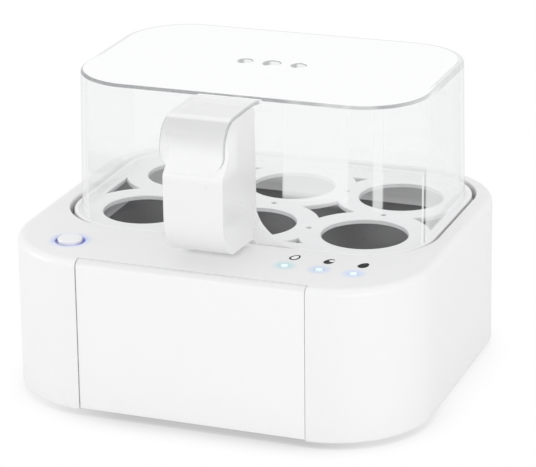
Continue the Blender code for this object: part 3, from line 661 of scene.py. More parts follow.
def housing_material():
    """White plastic, tinted by the lights round the button and each lens, and shaded under the handle."""
    n = plastic("housing_plastic", WHITE, (0.38, 0.44), grain=0.0015, coat=0.05, tint=0.993)
    for (_, x), tint in zip(LIGHTS, HALO_TINTS):
        n.shade(radial(n, x, CONTROL_Y, *LENS_HALO_REACH), tint)
    n.shade(n.times(radial(n, BUTTON_X, CONTROL_Y, *BUTTON_HALO_REACH), BUTTON_HALO_STRENGTH), BUTTON_HALO)
    here = n.place()
    covered = n.ramp(n.openness(HANDLE_SHADE_REACH), *HANDLE_SHADE_OPENNESS, 0.0, HANDLE_SHADE_STRENGTH)
    behind = n.ramp(here["Y"], *HANDLE_SHADE_BACK)
    before = n.ramp(here["Y"], *HANDLE_SHADE_FRONT)
    beside = n.ramp(n.size(here["X"]), *HANDLE_SHADE_SIDE)
    n.shade(n.times(covered, behind, before, beside), HANDLE_SHADE)
    return n.material


class Sheet(Nodes):
    """The lid's clear sheet, with the places and directions that its light and its lines depend on."""

    def __init__(self, name):
        super().__init__(name)
        geometry = self.add("ShaderNodeNewGeometry", {})
        self.near = self.inverse(geometry.outputs["Backfacing"])
        self.turn = self.axes(geometry.outputs["Normal"])
        self.upward = self.size(self.turn["Z"])
        self.facing = self.add("ShaderNodeLayerWeight", {"Blend": 0.5}).outputs["Facing"]
        self.here = self.place()
        self.behind_middle = self.math("SUBTRACT", self.here["Y"], WELL_Y)
        self.high = self.math("GREATER_THAN", self.here["Z"], LID_TOP - ROOF_DEPTH)
        self.in_front = self.ramp(self.here["Y"], *FRONT_WALL_Y)
        self.tongue = self.ramp(self.here["Y"], *TONGUE_ROOT_Y)
        self.roof = self.times(self.high, self.ramp(self.upward, *ROOF_UPWARD))


def lid_veil(n):
    """How much of the studio's light each part of the sheet sends back."""
    wall = n.ramp(n.facing, *WALL_TURN, *WALL_VEIL)
    roof = n.ramp(n.facing, *ROOF_TURN, *ROOF_VEIL)
    # Painted glare on the front wall, growing upwards and weaker at the far right
    front_glare = n.times(n.ramp(n.here["Z"], *FRONT_GLARE_Z, 0.0, FRONT_GLARE), n.in_front)
    front_glare = n.times(front_glare, n.ramp(n.here["X"], *FRONT_GLARE_END_X, FRONT_GLARE_LEFT, 1.0))
    outward = n.math("ADD", n.times(n.turn["Y"], n.behind_middle), n.times(n.turn["X"], n.here["X"]))
    # Painted light on the inner far wall, growing downwards
    far = n.times(n.math("LESS_THAN", outward, 0.0), n.ramp(n.here["Z"], *FAR_GLARE_Z, 0.0, FAR_GLARE))
    veil = n.blend(n.roof, n.largest(wall, front_glare, far), roof)
    for low_x, high_x, soft, low_z, strength in REFLECTIONS:
        band = n.times(n.within(n.here["X"], low_x, high_x, soft), n.in_front, n.ramp(n.upward, *WALL_UPWARD))
        band = n.times(band, n.ramp(n.here["Z"], low_z - REFLECTION_FADE, low_z + REFLECTION_FADE))
        veil = n.largest(veil, n.times(band, strength))
    veil = n.blend(n.tongue, veil, TONGUE_VEIL)
    # The painted veil of light is patchy, except on the roof
    patchy = n.ramp(n.noise(*VEIL_PATCH_NOISE), *VEIL_PATCHES)
    return n.times(veil, n.blend(n.roof, patchy, 1.0), n.near)


def lid_rim(n):
    """Painted dark lines: one along the rounded top edge, and a thin one round the back of the roof."""
    edge = n.times(n.ramp(n.upward, *RIM_UPWARD_LOW), n.ramp(n.upward, *RIM_UPWARD_HIGH), n.high, n.near)
    toward = n.math("SUBTRACT", n.times(n.turn["Y"], -RIM_AIM[1]), n.times(n.turn["X"], RIM_AIM[0]))
    edge = n.times(edge, n.ramp(toward, *RIM_AIM_STRENGTH))
    edge = n.times(edge, n.ramp(n.noise(*RIM_NOISE), *RIM_BREAKS))
    half_w, half_d, radius = LID
    past_x = n.largest(n.math("SUBTRACT", n.size(n.here["X"]), half_w - radius), 0.0)
    past_y = n.largest(n.math("SUBTRACT", n.size(n.behind_middle), half_d - radius), 0.0)
    back = n.ramp(n.length(past_x, past_y), radius - BACK_LINE[0], radius - BACK_LINE[1])
    back = n.times(back, n.ramp(n.here["Y"], *BACK_LINE_Y, 0.0, BACK_LINE_STRENGTH), n.high, n.near)
    return n.times(n.largest(edge, back), n.inverse(n.tongue))


def tongue_sides(n):
    """Painted dark lines on the tongue's cut edges, fading towards its tip."""
    sides = n.times(n.ramp(n.size(n.turn["X"]), *TONGUE_EDGE_SIDEWAYS), n.tongue)
    sides = n.times(sides, n.ramp(n.here["Z"], *TONGUE_EDGE_Z))
    return n.times(sides, n.blend(n.near, *TONGUE_EDGE_STRENGTH))


def vent_walls(n):
    """The wall of each vent, painted dark with a painted bright middle."""
    beside = n.size(n.math("SUBTRACT", n.here["Y"], VENT_Y))
    wall = n.times(n.ramp(n.upward, *WALL_UPWARD), n.high, n.math("LESS_THAN", beside, VENT_REACH_Y))
    wall = n.times(wall, n.math("LESS_THAN", n.size(n.here["X"]), VENT_REACH_X))
    shine = n.times(n.ramp(n.turn["X"], *VENT_SHINE_LEFT), n.ramp(n.turn["X"], *VENT_SHINE_RIGHT))
    return n.times(wall, n.inverse(n.times(shine, VENT_SHINE)), VENT_STRENGTH)


def corner_crease(n):
    """Where the front right corner bends, a painted highlight and a painted dark line stand upright side by
    side.
    """
    corner = n.times(n.ramp(n.here["X"], *CREASE_X), n.near, n.ramp(n.here["Y"], *CREASE_Y))
    corner = n.times(corner, n.ramp(n.here["Z"], *CREASE_Z))
    soft = CREASE_SOFT
    bright = n.times(n.within(n.facing, *CREASE_BRIGHT_TURN, soft), corner, CREASE_BRIGHT)
    dark = n.times(n.within(n.facing, *CREASE_DARK_TURN, soft), corner, CREASE_DARK)
    return bright, dark


def sheet_light(n):
    """The colour of the light that the sheet sends back; on the tongue it changes down the bend."""
    bend = n.ramp(n.here["Z"], *BEND_Z, *BEND_LIGHT)
    bend = n.blend(n.ramp(n.here["Z"], *BEND_CREST_Z), bend, BEND_CREST_LIGHT)
    bend = n.blend(n.ramp(n.upward, *TONGUE_TOP_UPWARD), bend, TONGUE_TOP_LIGHT)
    return n.mix(n.tongue, n.mix(n.roof, WALL_LIGHT, ROOF_LIGHT), bend)


def clear_material():
    """Clear moulded plastic as a thin sheet: tinted see-through, plus a painted veil of studio light that
    grows as the surface turns away. Edges and corners get painted darker or brighter lines. Only camera rays
    see all this.
    """
    n = Sheet("clear_plastic")
    bright, dark = corner_crease(n)
    line = n.largest(lid_rim(n), dark, tongue_sides(n), vent_walls(n))
    veil = n.times(n.largest(lid_veil(n), bright), n.inverse(line))
    sheet = n.add("ShaderNodeBsdfTransparent", {"Color": n.mix(line, WALL_TINT, DARK_LINE_SHADE)})
    light = n.add("ShaderNodeEmission", {"Color": sheet_light(n)})
    ripple = n.bump(n.noise(9.0, 2.0), 0.02, 0.0015)
    gloss = n.add("ShaderNodeBsdfGlossy", {"Roughness": GLOSS_ROUGH, "Normal": ripple})
    fresnel = n.add("ShaderNodeFresnel", {"IOR": GLOSS_IOR})
    glossy = n.times(fresnel.outputs[0], n.near, n.inverse(n.roof))
    seen = n.blend_shaders(glossy, n.blend_shaders(veil, sheet, light), gloss)
    through = n.add("ShaderNodeBsdfTransparent", {"Color": THROUGH_TINT})
    return n.finish(n.blend_shaders(n.ray("Is Camera Ray"), through, seen))


def handle_material():
    """White plastic that lets some light through, with a little painted light in the scoop."""
    n = plastic("handle_plastic", (0.78, 0.78, 0.78), (0.27, 0.33), 0.002, 0.2, 0.993)
    here = n.place()
    scoop = n.times(n.ramp(here["Z"], *SCOOP_LIGHT_TOP), n.ramp(here["Z"], *SCOOP_LIGHT_BOTTOM))
    front = n.ramp(here["Y"], *SCOOP_LIGHT_Y)
    n.set("Emission Color", (1.0, 1.0, 1.0))
    n.set("Emission Strength", n.times(scoop, front, SCOOP_LIGHT))
    indirect = n.largest(n.ray("Is Diffuse Ray"), n.ray("Is Shadow Ray"))
    through = n.add("ShaderNodeBsdfTransparent", {})
    return n.finish(n.blend_shaders(n.times(indirect, HANDLE_CLEARNESS), n.shader, through))


def tray_material():
    """White plastic, with painted shade in the small pits in its top."""
    n = plastic("tray_plastic", (0.86, 0.86, 0.855), (0.28, 0.4), 0.006, 0.1)
    deep = n.ramp(n.place()["Z"], TRAY_TOP - PIT_DEPTH[0], TRAY_TOP - PIT_DEPTH[1])
    upward = n.ramp(n.facing_axes("True Normal")["Z"], *PIT_UPWARD)
    n.shade(n.times(deep, upward), PIT_SHADE)
    return n.material


def bowl_material():
    """Satin steel wall with a painted glint that grows towards the back, and a darker non-stick floor."""
    n = metal("bowl_finish", STEEL, (0.5, 0.62), strength=0.03)
    here = n.place()
    coated = n.math("LESS_THAN", here["Z"], BOWL_FLOOR + BOWL_COATED)
    speck = n.spread(n.noise(900.0, 2.0), 0.0, 1.0)
    n.set("Base Color", n.mix(coated, n.colour(), n.mix(speck, *BOWL_COATING)))
    n.set("Metallic", n.blend(coated, BOWL_METALLIC, 0.0))
    n.set("Emission Color", (1.0, 1.0, 1.0))
    glint = n.ramp(here["Y"], *BOWL_GLINT_Y)
    n.set("Emission Strength", n.times(n.blend(coated, BOWL_GLINT, 0.0), glint))
    return n.material


def panel_material():
    """Glossier white plastic, with painted shade on the lip that folds over the deck, where it faces up."""
    n = plastic("panel_plastic", (0.82, 0.82, 0.82), (0.12, 0.2), 0.002, 0.5, 0.993)
    n.shade(n.ramp(n.facing_axes()["Z"], *PANEL_LIP_UPWARD), PANEL_LIP_SHADE)
    return n.material


def ring_material():
    """The button's lit ring, whose colour changes round it."""
    n = plastic("ring_lens_plastic", RING_INK, (0.2, 0.3), 0.02, 0.1)
    here = n.place()
    across = n.ramp(here["X"], BUTTON_X + RING_ACROSS[0], BUTTON_X + RING_ACROSS[1])
    toward = n.ramp(here["Y"], CONTROL_Y + RING_TOWARD[0], CONTROL_Y + RING_TOWARD[1])
    left, right, front_left, front_right = RING_COLOURS
    light = n.mix(toward, n.mix(across, left, right), n.mix(across, front_left, front_right))
    n.set("Emission Color", n.mix(radial(n, BUTTON_X, CONTROL_Y, *RING_RIM_REACH), RING_RIM, light))
    n.set("Emission Strength", 1.0)
    return n.material


def lens_material(name, x):
    """A lit lens, whose glow changes from its middle to its edge."""
    n = plastic(name, (0.3, 0.35, 0.36), (0.1, 0.2), 0.01, 0.1)
    core = radial(n, x, CONTROL_Y, 0.3, LENS_R + 0.4)
    n.set("Emission Color", n.mix(core, LENS_EDGE_GLOW, LENS_GLOW))
    n.set("Emission Strength", LENS_GLOW_STRENGTH)
    return n.material


def chip_material():
    n = plastic("chip_body", (0.8, 0.85, 0.8))
    n.set("Emission Color", CHIP_GLOW)
    n.set("Emission Strength", CHIP_GLOW_STRENGTH)
    return n.material


# ---------------------------------------------------------------- pieces


def make_housing():
    def skin(inset, z):
        return rounded(BODY_HALF_W - inset, BODY_HALF_D - inset, BODY_CORNER_R - inset, z)

    rings = [skin(BODY_DRAFT + 1.0, BODY_BOTTOM), skin(BODY_DRAFT + 0.3, BODY_BOTTOM + 0.25)]
    rings += [skin(BODY_DRAFT, BODY_BOTTOM + 1.0), skin(0.05, DECK_TOP - BODY_EDGE_R - 0.5)]
    for across, up in arc(BODY_EDGE_R, 0.0, 90.0, 9):
        rings.append(skin(BODY_EDGE_R - across, DECK_TOP - BODY_EDGE_R + up))
    for across, up in arc(WELL_EDGE_R, 90.0, 0.0, 5):
        rings.append(inset_ring(WELL, across - WELL_EDGE_R, DECK_TOP - WELL_EDGE_R + up, WELL_Y))
    rings += [
        inset_ring(WELL, 0.0, LEDGE_TOP, WELL_Y),
        inset_ring(LEDGE, 0.0, LEDGE_TOP, WELL_Y),
        inset_ring(LEDGE, 0.0, LEDGE_BOTTOM, WELL_Y),
        inset_ring(SKIRT, 0.0, LEDGE_BOTTOM, WELL_Y),
        inset_ring(SKIRT, 0.0, DECK_UNDER, WELL_Y),
        inset_ring(CAVITY, 0.0, DECK_UNDER, CAVITY_Y),
        inset_ring(CAVITY, 0.0, BODY_BOTTOM, CAVITY_Y),
    ]
    housing = loft("housing_shell", rings, closed=True)
    behind = PANEL_SINK + PANEL_THICK + POCKET_GAP
    pocket = prism_x("pocket", [
        (POCKET_FRONT, POCKET_LOW),
        (front_y(POCKET_LOW) + behind, POCKET_LOW),
        (front_y(PANEL_LIP_BOTTOM) + behind, PANEL_LIP_BOTTOM - POCKET_GAP),
        (PANEL_LIP_BACK + POCKET_LIP_GAP, PANEL_LIP_BOTTOM - POCKET_GAP),
        (PANEL_LIP_BACK + POCKET_LIP_GAP, POCKET_HIGH),
        (POCKET_FRONT, POCKET_HIGH),
    ], PANEL_HALF_W + GROOVE)
    holes = [pocket]
    for radius, x in [(BUTTON_HOLE_R, BUTTON_X)] + [(LENS_HOLE_R, x) for _, x in LIGHTS]:
        profile = [(radius, HOLE_LOW), (radius, DECK_TOP - 0.3), (radius + 0.5, DECK_TOP + 0.2)]
        holes.append(turned("hole", profile, (x, CONTROL_Y)))
    holes.append(loft("notch", [[(x, y, z) for x, z in NOTCH] for y in NOTCH_Y]))
    finish_mesh(cut(housing, *holes))
    place(housing, "base", "housing", slot="white_plastic", material=housing_material())


def make_panel():
    inside = PANEL_SINK + PANEL_THICK
    profile = [
        (front_y(PANEL_BOTTOM) + PANEL_SINK, PANEL_BOTTOM),
        (front_y(PANEL_BOTTOM) + inside, PANEL_BOTTOM),
        (front_y(PANEL_LIP_BOTTOM) + inside, PANEL_LIP_BOTTOM),
        (PANEL_LIP_BACK, PANEL_LIP_BOTTOM),
        (PANEL_LIP_BACK, DECK_TOP - PANEL_LIP_SINK),
    ]
    for step, (across, up) in enumerate(arc(1.0, 90.0, 180.0, 10)):
        radius = BODY_EDGE_R - PANEL_LIP_SINK - (PANEL_SINK - PANEL_LIP_SINK) * step / 10.0
        profile.append((-BODY_HALF_D + BODY_EDGE_R + across * radius, DECK_TOP - BODY_EDGE_R + up * radius))
    panel = bevel(prism_x("front_panel", profile, PANEL_HALF_W), 0.25, 3)
    finish_mesh(panel)
    place(panel, "base", "front_fascia", slot="fascia_plastic", material=panel_material())


def make_bowl():
    def ring(inset, z):
        return inset_ring(BOWL, inset, z, WELL_Y)

    foot = BOWL_FOOT_R
    rings = []
    for across, up in arc(foot, -90.0, 0.0, 6):
        rings.append(ring(foot - across - BOWL_WALL, BOWL_FLOOR - BOWL_WALL + foot + up))
    rings += [
        ring(-BOWL_WALL, BOWL_RIM - BOWL_WALL),
        inset_ring(BOWL_FLANGE, 0.0, BOWL_RIM - BOWL_WALL, WELL_Y),
        inset_ring(BOWL_FLANGE, 0.0, BOWL_RIM, WELL_Y),
        ring(-0.6, BOWL_RIM),
        ring(-0.2, BOWL_RIM - 0.2),
        ring(0.0, BOWL_RIM - 0.6),
    ]
    for across, up in arc(foot, 0.0, -90.0, 6):
        rings.append(ring(foot - across, BOWL_FLOOR + foot + up))
    bowl = finish_mesh(loft("bowl", rings), 60.0)
    place(bowl, "base", "heating_bowl", slot="bowl_steel", material=bowl_material())


def egg_places():
    return [
        (column * EGG_PITCH_X, WELL_Y + row * EGG_PITCH_Y / 2.0)
        for row in (-1, 1)
        for column in (-1, 0, 1)
    ]


def make_tray():
    def ring(inset, z):
        return inset_ring(TRAY, inset, z, WELL_Y)

    rings = [ring(0.5, TRAY_BOTTOM), ring(0.15, TRAY_BOTTOM + 0.15), ring(0.0, TRAY_BOTTOM + 0.5)]
    bead = BEAD_WIDTH / 2.0
    for across, up in arc(bead, 0.0, 180.0, 12):
        rings.append(ring(bead - across, BEAD_TOP - bead * 0.75 + up * 0.75))
    rings.append(ring(BEAD_WIDTH + 0.25, TRAY_TOP + 0.12))
    rings.append(ring(BEAD_WIDTH + 0.8, TRAY_TOP))
    tray = loft("tray", rings)

    flare = [(0.0, TRAY_BOTTOM - 2.0), (0.0, TRAY_TOP - EDGE_R)]
    for across, up in arc(EDGE_R, 180.0, 100.0, 4):
        flare.append((EDGE_R + across, TRAY_TOP - EDGE_R + up))
    flare.append((EDGE_R, TRAY_TOP + 1.0))
    openings = loft("openings", [inset_ring(LATTICE, -grow, z, WELL_Y) for grow, z in flare])
    discs = []
    for centre in egg_places():
        profile = [(EGG_RING_R, TRAY_BOTTOM - 4.0)] + [(EGG_RING_R - grow, z) for grow, z in flare[1:]]
        profile.append((EGG_RING_R - EDGE_R, TRAY_TOP + 3.0))
        discs.append(turned("disc", profile, centre, 96))
    finish_mesh(cut(openings, *discs))
    openings.modifiers.clear()

    holes = []
    for centre in egg_places():
        hole = [(EGG_HOLE_R, TRAY_BOTTOM - 2.0)]
        for across, up in arc(0.9, 180.0, 95.0, 5):
            hole.append((EGG_HOLE_R + 0.9 + across, TRAY_TOP - 0.9 + up))
        hole.append((EGG_HOLE_R + 1.0, TRAY_TOP + 1.5))
        holes.append(turned("egg_hole", hole, centre, 96))
    half_x = EGG_PITCH_X / 2.0
    half_y = EGG_PITCH_Y / 2.0
    dimples = [(x, WELL_Y + y) for x in (-half_x, half_x) for y in (-half_y, half_y)]
    dimples += [(x, WELL_Y) for x in (-EGG_PITCH_X, 0.0, EGG_PITCH_X)]
    pits = []
    for centre in dimples:
        pit = [(0.4, TRAY_TOP - 1.3), (1.2, TRAY_TOP - 1.1)]
        pit += [(DIMPLE_R, TRAY_TOP), (DIMPLE_R + 0.6, TRAY_TOP + 0.6)]
        pits.append(turned("pit", pit, centre, 24))
    cut(tray, openings, *holes, *pits)
    finish_mesh(tray, 50.0)
    place(tray, "tray", "egg_tray", slot="white_plastic", material=tray_material())


def make_handle():
    foot_front = HANDLE_BACK - HANDLE_FOOT_DEPTH
    shoulder = HANDLE_TOP - HANDLE_SHOULDER_DROP
    profile = [(HANDLE_BACK, HANDLE_FOOT_Z), (HANDLE_BACK - HANDLE_LEAN, shoulder)]
    profile += [(-43.0, HANDLE_TOP - 0.6), (-48.5, HANDLE_TOP), (-66.0, HANDLE_TOP)]
    nose_y, nose_z = HANDLE_NOSE
    for across, up in arc(HANDLE_NOSE_R, 95.0, 145.0, 8):
        profile.append((nose_y + across, nose_z + up))
    middle = (SCOOP_TOP + SCOOP_BOTTOM) / 2.0
    for step in range(SCOOP_STEPS + 1):
        share = step / SCOOP_STEPS
        z = SCOOP_TOP + share * (SCOOP_BOTTOM - SCOOP_TOP)
        lean = SCOOP_UPPER_Y + share * (HANDLE_FRONT + 2.0 - SCOOP_UPPER_Y)
        bow = SCOOP_DEPTH * math.cos(math.pi * (z - middle) / (SCOOP_TOP - SCOOP_BOTTOM))
        profile.append((lean + bow, z))
    profile += [(HANDLE_FRONT + 1.2, SCOOP_BOTTOM - 0.4), (HANDLE_FRONT + 0.35, SCOOP_BOTTOM - 1.1)]
    chin_y, chin_z = HANDLE_CHIN
    profile += [(HANDLE_FRONT, SCOOP_BOTTOM - 2.2), (HANDLE_FRONT, chin_z)]
    for across, up in arc(1.0, 180.0, 262.0, 14):
        profile.append((chin_y + across * HANDLE_CHIN_R[0], chin_z + up * HANDLE_CHIN_R[1]))
    profile += HANDLE_HEEL
    profile += [(foot_front - 0.1, HANDLE_HEEL_Z), (foot_front - 0.1, HANDLE_FOOT_Z)]
    handle = prism_x("handle", profile, HANDLE_HALF_W)
    right = [(HANDLE_HALF_W - 1.4, FLARE_TOP + 0.5)]
    for across, down in arc(1.0, FLARE_START, FLARE_END, 16):
        right.append((FLARE_CENTRE_X - FLARE_RADIUS_X * across, FLARE_TOP - FLARE_RADIUS_Z * down))
    right.append((right[-1][0], HANDLE_FOOT_Z))
    outline = right + [(-x, z) for x, z in reversed(right)]
    slope = HANDLE_LEAN / (shoulder - HANDLE_FOOT_Z)
    foot = loft("foot", [
        [(x, foot_front, z) for x, z in outline],
        [(x, HANDLE_BACK - 0.1 - slope * (z - HANDLE_FOOT_Z), z) for x, z in outline],
    ])
    join(handle, foot)
    bevel(handle, 1.0, 4, 50.0)
    inner = HANDLE_HALF_W - HANDLE_WALL
    hollow = block("hollow", (-inner, HOLLOW_Y[0], HOLLOW_Z[0]), (inner, HOLLOW_Y[1], HOLLOW_Z[1]))
    finish_mesh(cut(handle, hollow))
    place(handle, "tray", "tray_handle", slot="white_plastic", material=handle_material())


def tongue_path():
    path = [(point, (0.0, 1.0)) for point in TONGUE_ROOT]
    centre_y = TONGUE_FRONT + TONGUE_BEND_R
    centre_z = TONGUE_TOP - TONGUE_BEND_R
    for across, up in arc(1.0, 90.0, 180.0, 16):
        path.append(((centre_y + TONGUE_BEND_R * across, centre_z + TONGUE_BEND_R * up), (across, up)))
    for across, up in arc(TONGUE_TIP_R, 0.0, -90.0, 14):
        z = TONGUE_TIP_Z + TONGUE_TIP_R + up
        if up < 0.0:
            path.append(((TONGUE_FRONT, z), (-1.0, 0.0)))
    return path


def make_lid():
    def ring(inset, z):
        share = (LID_TOP - z) / (LID_TOP - LID_BOTTOM)
        size = [top + share * flare for top, flare in zip(LID, LID_FLARE)]
        return inset_ring(size, inset, z, WELL_Y, 20)

    inner_r = 1.0
    rings = []
    for across, up in arc(inner_r, 90.0, 0.0, 5):
        rings.append(ring(LID_WALL + inner_r - across, LID_TOP - LID_WALL - inner_r + up))
    rings += [ring(LID_WALL - 0.1, LID_BOTTOM + 0.3), ring(LID_WALL - 0.4, LID_BOTTOM)]
    rings += [ring(0.4, LID_BOTTOM), ring(0.1, LID_BOTTOM + 0.3)]
    for across, up in arc(LID_EDGE_R, 0.0, 90.0, 7):
        rings.append(ring(LID_EDGE_R - across, LID_TOP - LID_EDGE_R + up))
    lid = loft("lid_hood", rings)
    strip = []
    for (y, z), (normal_y, normal_z) in tongue_path():
        drop = max(0.0, TONGUE_TIP_Z + TONGUE_TIP_R - z)
        half = TONGUE_HALF_W - TONGUE_TIP_R + math.sqrt(max(TONGUE_TIP_R**2 - drop**2, 0.01))
        soft = 0.45
        strip.append([
            (across, y - normal_y * depth, z - normal_z * depth)
            for across, depth in (
                (-half, soft), (-half + soft, 0.0), (half - soft, 0.0), (half, soft),
                (half, TONGUE_THICK - soft), (half - soft, TONGUE_THICK),
                (-half + soft, TONGUE_THICK), (-half, TONGUE_THICK - soft),
            )
        ])
    join(lid, loft("tongue", strip))
    vents = []
    for x, radius in VENTS:
        profile = [(radius, LID_TOP - 6.0), (radius, LID_TOP - 0.3)]
        profile += [(radius + 0.3, LID_TOP), (radius + 1.0, LID_TOP + 0.7)]
        vents.append(turned("vent", profile, (x, VENT_Y), 48))
    cut(lid, *vents)
    finish_mesh(lid, 40.0)
    place(lid, "lid", "lid", slot="clear_plastic", material=clear_material())


def make_button():
    centre = (BUTTON_X, CONTROL_Y)
    flange_low, flange_high = BUTTON_FLANGE_Z
    profile = [(BUTTON_STEM_R, BUTTON_STEM_BOTTOM), (BUTTON_STEM_R, flange_low)]
    profile += [(BUTTON_FLANGE_R, flange_low), (BUTTON_FLANGE_R, flange_high)]
    profile += [(BUTTON_R, flange_high), (BUTTON_R, BUTTON_TOP - 1.0)]
    for across, up in arc(1.0, 15.0, 80.0, 5):
        profile.append((BUTTON_R - 1.0 + across, BUTTON_TOP - 1.2 + up))
    profile += [(BUTTON_R - 2.5, BUTTON_TOP - 0.08), (0.4, BUTTON_TOP)]
    cap = finish_mesh(turned("button_cap", profile, centre))
    finish = plastic("button_plastic", (0.80, 0.80, 0.82), (0.15, 0.25), 0.01, 0.4)
    place(cap, "button", "power_button_cap", slot="white_plastic", material=finish.material)

    profile = [(RING_INNER_R, RING_BOTTOM), (RING_OUTER_R, RING_BOTTOM)]
    profile += [(RING_OUTER_R, RING_TOP - 0.2), (RING_OUTER_R - 0.25, RING_TOP)]
    profile += [(RING_INNER_R + 0.25, RING_TOP), (RING_INNER_R, RING_TOP - 0.2)]
    ring = finish_mesh(turned("ring_light", profile, centre, closed=True))
    place(ring, "base", "button_ring_light", slot="ring_lens", material=ring_material())


def make_spring():
    """The button's return spring."""
    rings = []
    steps = int(SPRING_TURNS * 32)
    for step in range(steps + 1):
        angle = 2.0 * math.pi * SPRING_TURNS * step / steps
        z = SPRING_BOTTOM + step / steps * (SPRING_TOP - SPRING_BOTTOM)
        rings.append([
            (
                BUTTON_X + (SPRING_MEAN_R + across) * math.cos(angle),
                CONTROL_Y + (SPRING_MEAN_R + across) * math.sin(angle),
                z + up,
            )
            for across, up in arc(SPRING_WIRE_R, 0.0, 315.0, 7)
        ])
    spring = finish_mesh(loft("return_spring", rings), 60.0)
    steel = metal("spring_steel", STEEL).material
    place(spring, "base", "button_spring", slot="spring_steel", material=steel)
    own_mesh(spring)


def make_lenses():
    for name, x in LIGHTS:
        profile = [(LENS_R, LENS_BOTTOM), (LENS_R, LENS_TOP - 0.5)]
        for across, up in arc(0.5, 10.0, 80.0, 4):
            profile.append((LENS_R - 0.5 + across, LENS_TOP - 0.55 + up))
        profile.append((0.3, LENS_TOP))
        lens = finish_mesh(turned("light_" + name, profile, (x, CONTROL_Y), 32))
        finish = lens_material("lens_" + name + "_plastic", x)
        place(lens, "base", "lens_" + name, slot="lens", material=finish)


def egg_outline(centre, long, short, z, steps=48):
    """An egg-shaped loop, a little fuller at its lower end."""
    turn = Matrix.Rotation(ICON_TURN, 2)
    loop = []
    for step in range(steps):
        angle = 2.0 * math.pi * step / steps
        along = long * math.cos(angle)
        width = short * math.sin(angle) * (1.0 - 0.16 * math.cos(angle))
        point = turn @ Vector((along, width))
        loop.append((centre[0] + point.x, centre[1] + point.y, z))
    return loop


def make_icons():
    """The three printed egg symbols: outline, half filled, solid. Ink 0.05 mm thick."""
    low = DECK_TOP + INK_LOW
    high = DECK_TOP + INK_HIGH
    ink = rubber("icon_ink", (0.012, 0.012, 0.012)).material
    paper = plastic("icon_white_ink", (0.86, 0.86, 0.86), (0.3, 0.4)).material
    for name, x in LIGHTS:
        centre = (x + ICON_SHIFT_X, CONTROL_Y + ICON_SHIFT_Y)
        solid = loft("icon_" + name, [egg_outline(centre, ICON_LONG, ICON_SHORT, z) for z in (low, high)])
        if name in ICON_HOLES:
            shift, shorter, narrower = ICON_HOLES[name]
            inner_long = ICON_LONG - ICON_LINE - shorter
            inner_short = ICON_SHORT - ICON_LINE + 0.1 - narrower
            middle = (centre[0] + shift, centre[1] + shift * 1.1)
            hole = [egg_outline(middle, inner_long, inner_short, z) for z in (low - 1.0, high + 1.0)]
            cut(solid, loft("icon_hole", hole))
            fill = [egg_outline(middle, inner_long, inner_short, z) for z in (low, high - 0.01)]
            white = finish_mesh(loft("icon_fill_" + name, fill))
            place(white, "base", slot="white_plastic", material=paper)
        finish_mesh(solid)
        place(solid, "base", slot="dark_plastic", material=ink)


def finish_cad_nodes():
    """Procedural materials for the CAD nodes that stay."""
    base = plastic("base_moulding", (0.74, 0.74, 0.73), (0.45, 0.6), 0.05, 0.0).material
    steel = metal("plain_steel", STEEL).material
    heater = metal("heater_alloy", (0.70, 0.70, 0.71), (0.35, 0.5)).material
    sheath = metal("element_sheath_metal", (0.40, 0.38, 0.36), (0.45, 0.6)).material
    pin = metal("pin_nickel", (0.78, 0.76, 0.72), (0.12, 0.22), (40.0, 1.0, 1.0), 0.02).material
    dark = rubber("dark_moulding", (0.02, 0.02, 0.022)).material
    pad = rubber("pad_rubber", (0.05, 0.05, 0.052)).material
    board = plastic("board_mask", (0.02, 0.16, 0.06), (0.3, 0.5), 0.05, 0.2, 0.8).material
    chip = chip_material()
    lead = plastic("lead_sleeve", (0.45, 0.45, 0.44), (0.5, 0.6), 0.05, 0.0).material
    groups = {
        base: ("base_plate", "power_cord", "mains_plug", "terminal_block"),
        steel: tuple(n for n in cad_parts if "screw" in n),
        heater: ("heater_plate", "thermostat", "thermal_fuse"),
        sheath: ("heating_element",),
        pin: ("plug_pin_left", "plug_pin_right"),
        dark: ("tact_switch", "buzzer", "relay", "strain_relief", "bowl_seal"),
        pad: tuple(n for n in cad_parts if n.startswith("foot_")),
        board: ("control_board",),
        chip: ("led_soft", "led_medium", "led_hard"),
        lead: ("heater_lead_live", "heater_lead_neutral", "board_lead"),
    }
    for material, names in groups.items():
        for name in names:
            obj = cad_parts[name]
            obj.data.materials.clear()
            obj.data.materials.append(material)


# ---------------------------------------------------------------- studio


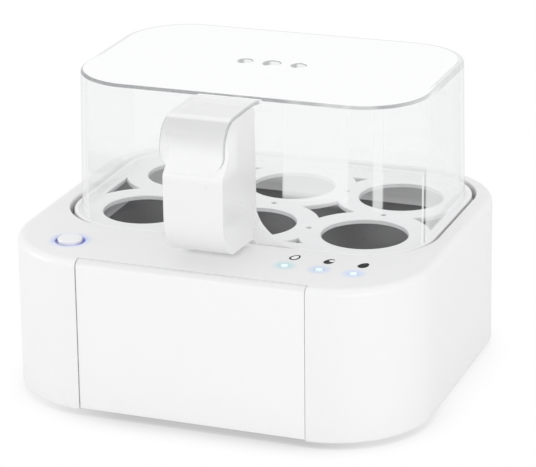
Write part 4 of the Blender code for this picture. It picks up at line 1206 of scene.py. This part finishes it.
def make_stage():
    """A pale floor that the camera sees as white paper with a soft contact shadow, and a white sky."""
    corners = [(x * FLOOR_HALF, y * FLOOR_HALF, 0.0) for x, y in ((-1, -1), (1, -1), (1, 1), (-1, 1))]
    floor = new_object("floor", corners, [(0, 1, 2, 3)])
    n = Nodes("floor_paper")
    n.set("Base Color", n.mix(n.noise(3.0), (0.88, 0.88, 0.88), (0.9, 0.9, 0.9)))
    n.set("Roughness", 0.8)
    n.set("Specular IOR Level", 0.0)
    openness = n.openness(SHADOW_REACH)
    here = n.place()
    shade = n.inverse(n.ramp(openness, *SHADOW_RANGE))
    shade = n.math("MINIMUM", shade, n.inverse(n.times(openness, SHADOW_DEEPEST)))
    shade = n.times(shade, n.ramp(here["Y"], *SHADOW_FADE_Y, 1.0, SHADOW_BACK))
    shade = n.times(shade, n.ramp(here["X"], *SHADOW_LEFT_X, SHADOW_LEFT, 1.0))
    shade = n.times(shade, n.ramp(here["X"], *SHADOW_RIGHT_X, 1.0, SHADOW_RIGHT))
    seen = n.add("ShaderNodeEmission", {"Color": n.mix(shade, (1.0, 1.0, 1.0), SHADOW_GREY)})
    floor.data.materials.append(n.finish(n.blend_shaders(n.ray("Is Camera Ray"), n.shader, seen)))

    world = bpy.data.worlds.new("studio")
    world.use_nodes = True
    sky = world.node_tree.nodes["Background"].inputs
    sky["Color"].default_value = (1.0, 1.0, 1.0, 1.0)
    sky["Strength"].default_value = SKY_STRENGTH
    bpy.context.scene.world = world


def area_light(name, position, target, size, power):
    data = bpy.data.lights.new(name, "AREA")
    data.shape = "RECTANGLE"
    data.size, data.size_y = size
    data.energy = power
    obj = bpy.data.objects.new(name, data)
    obj.location = Vector(position)
    aim = Vector(target) - Vector(position)
    obj.rotation_mode = "QUATERNION"
    obj.rotation_quaternion = aim.to_track_quat("-Z", "Y")
    bpy.context.scene.collection.objects.link(obj)
    return obj


def make_camera():
    data = bpy.data.cameras.new("camera")
    data.sensor_fit = "HORIZONTAL"
    data.sensor_width = 36.0
    data.lens = LENS_MM
    data.shift_x, data.shift_y = LENS_SHIFT
    data.clip_start = 0.05
    data.clip_end = 20.0
    obj = bpy.data.objects.new("camera", data)
    turn = Euler([math.radians(angle) for angle in CAMERA_TURN])
    obj.matrix_world = Matrix.Translation(CAMERA_PLACE) @ turn.to_matrix().to_4x4()
    bpy.context.scene.collection.objects.link(obj)
    bpy.context.scene.camera = obj


make_housing()
make_panel()
make_bowl()
make_tray()
make_handle()
make_lid()
make_button()
make_spring()
make_lenses()
make_icons()
finish_cad_nodes()
make_stage()
for softbox in SOFTBOXES:
    area_light(*softbox)
make_camera()
scene = bpy.context.scene
scene.view_settings.view_transform = "Standard"
scene.view_settings.look = "None"
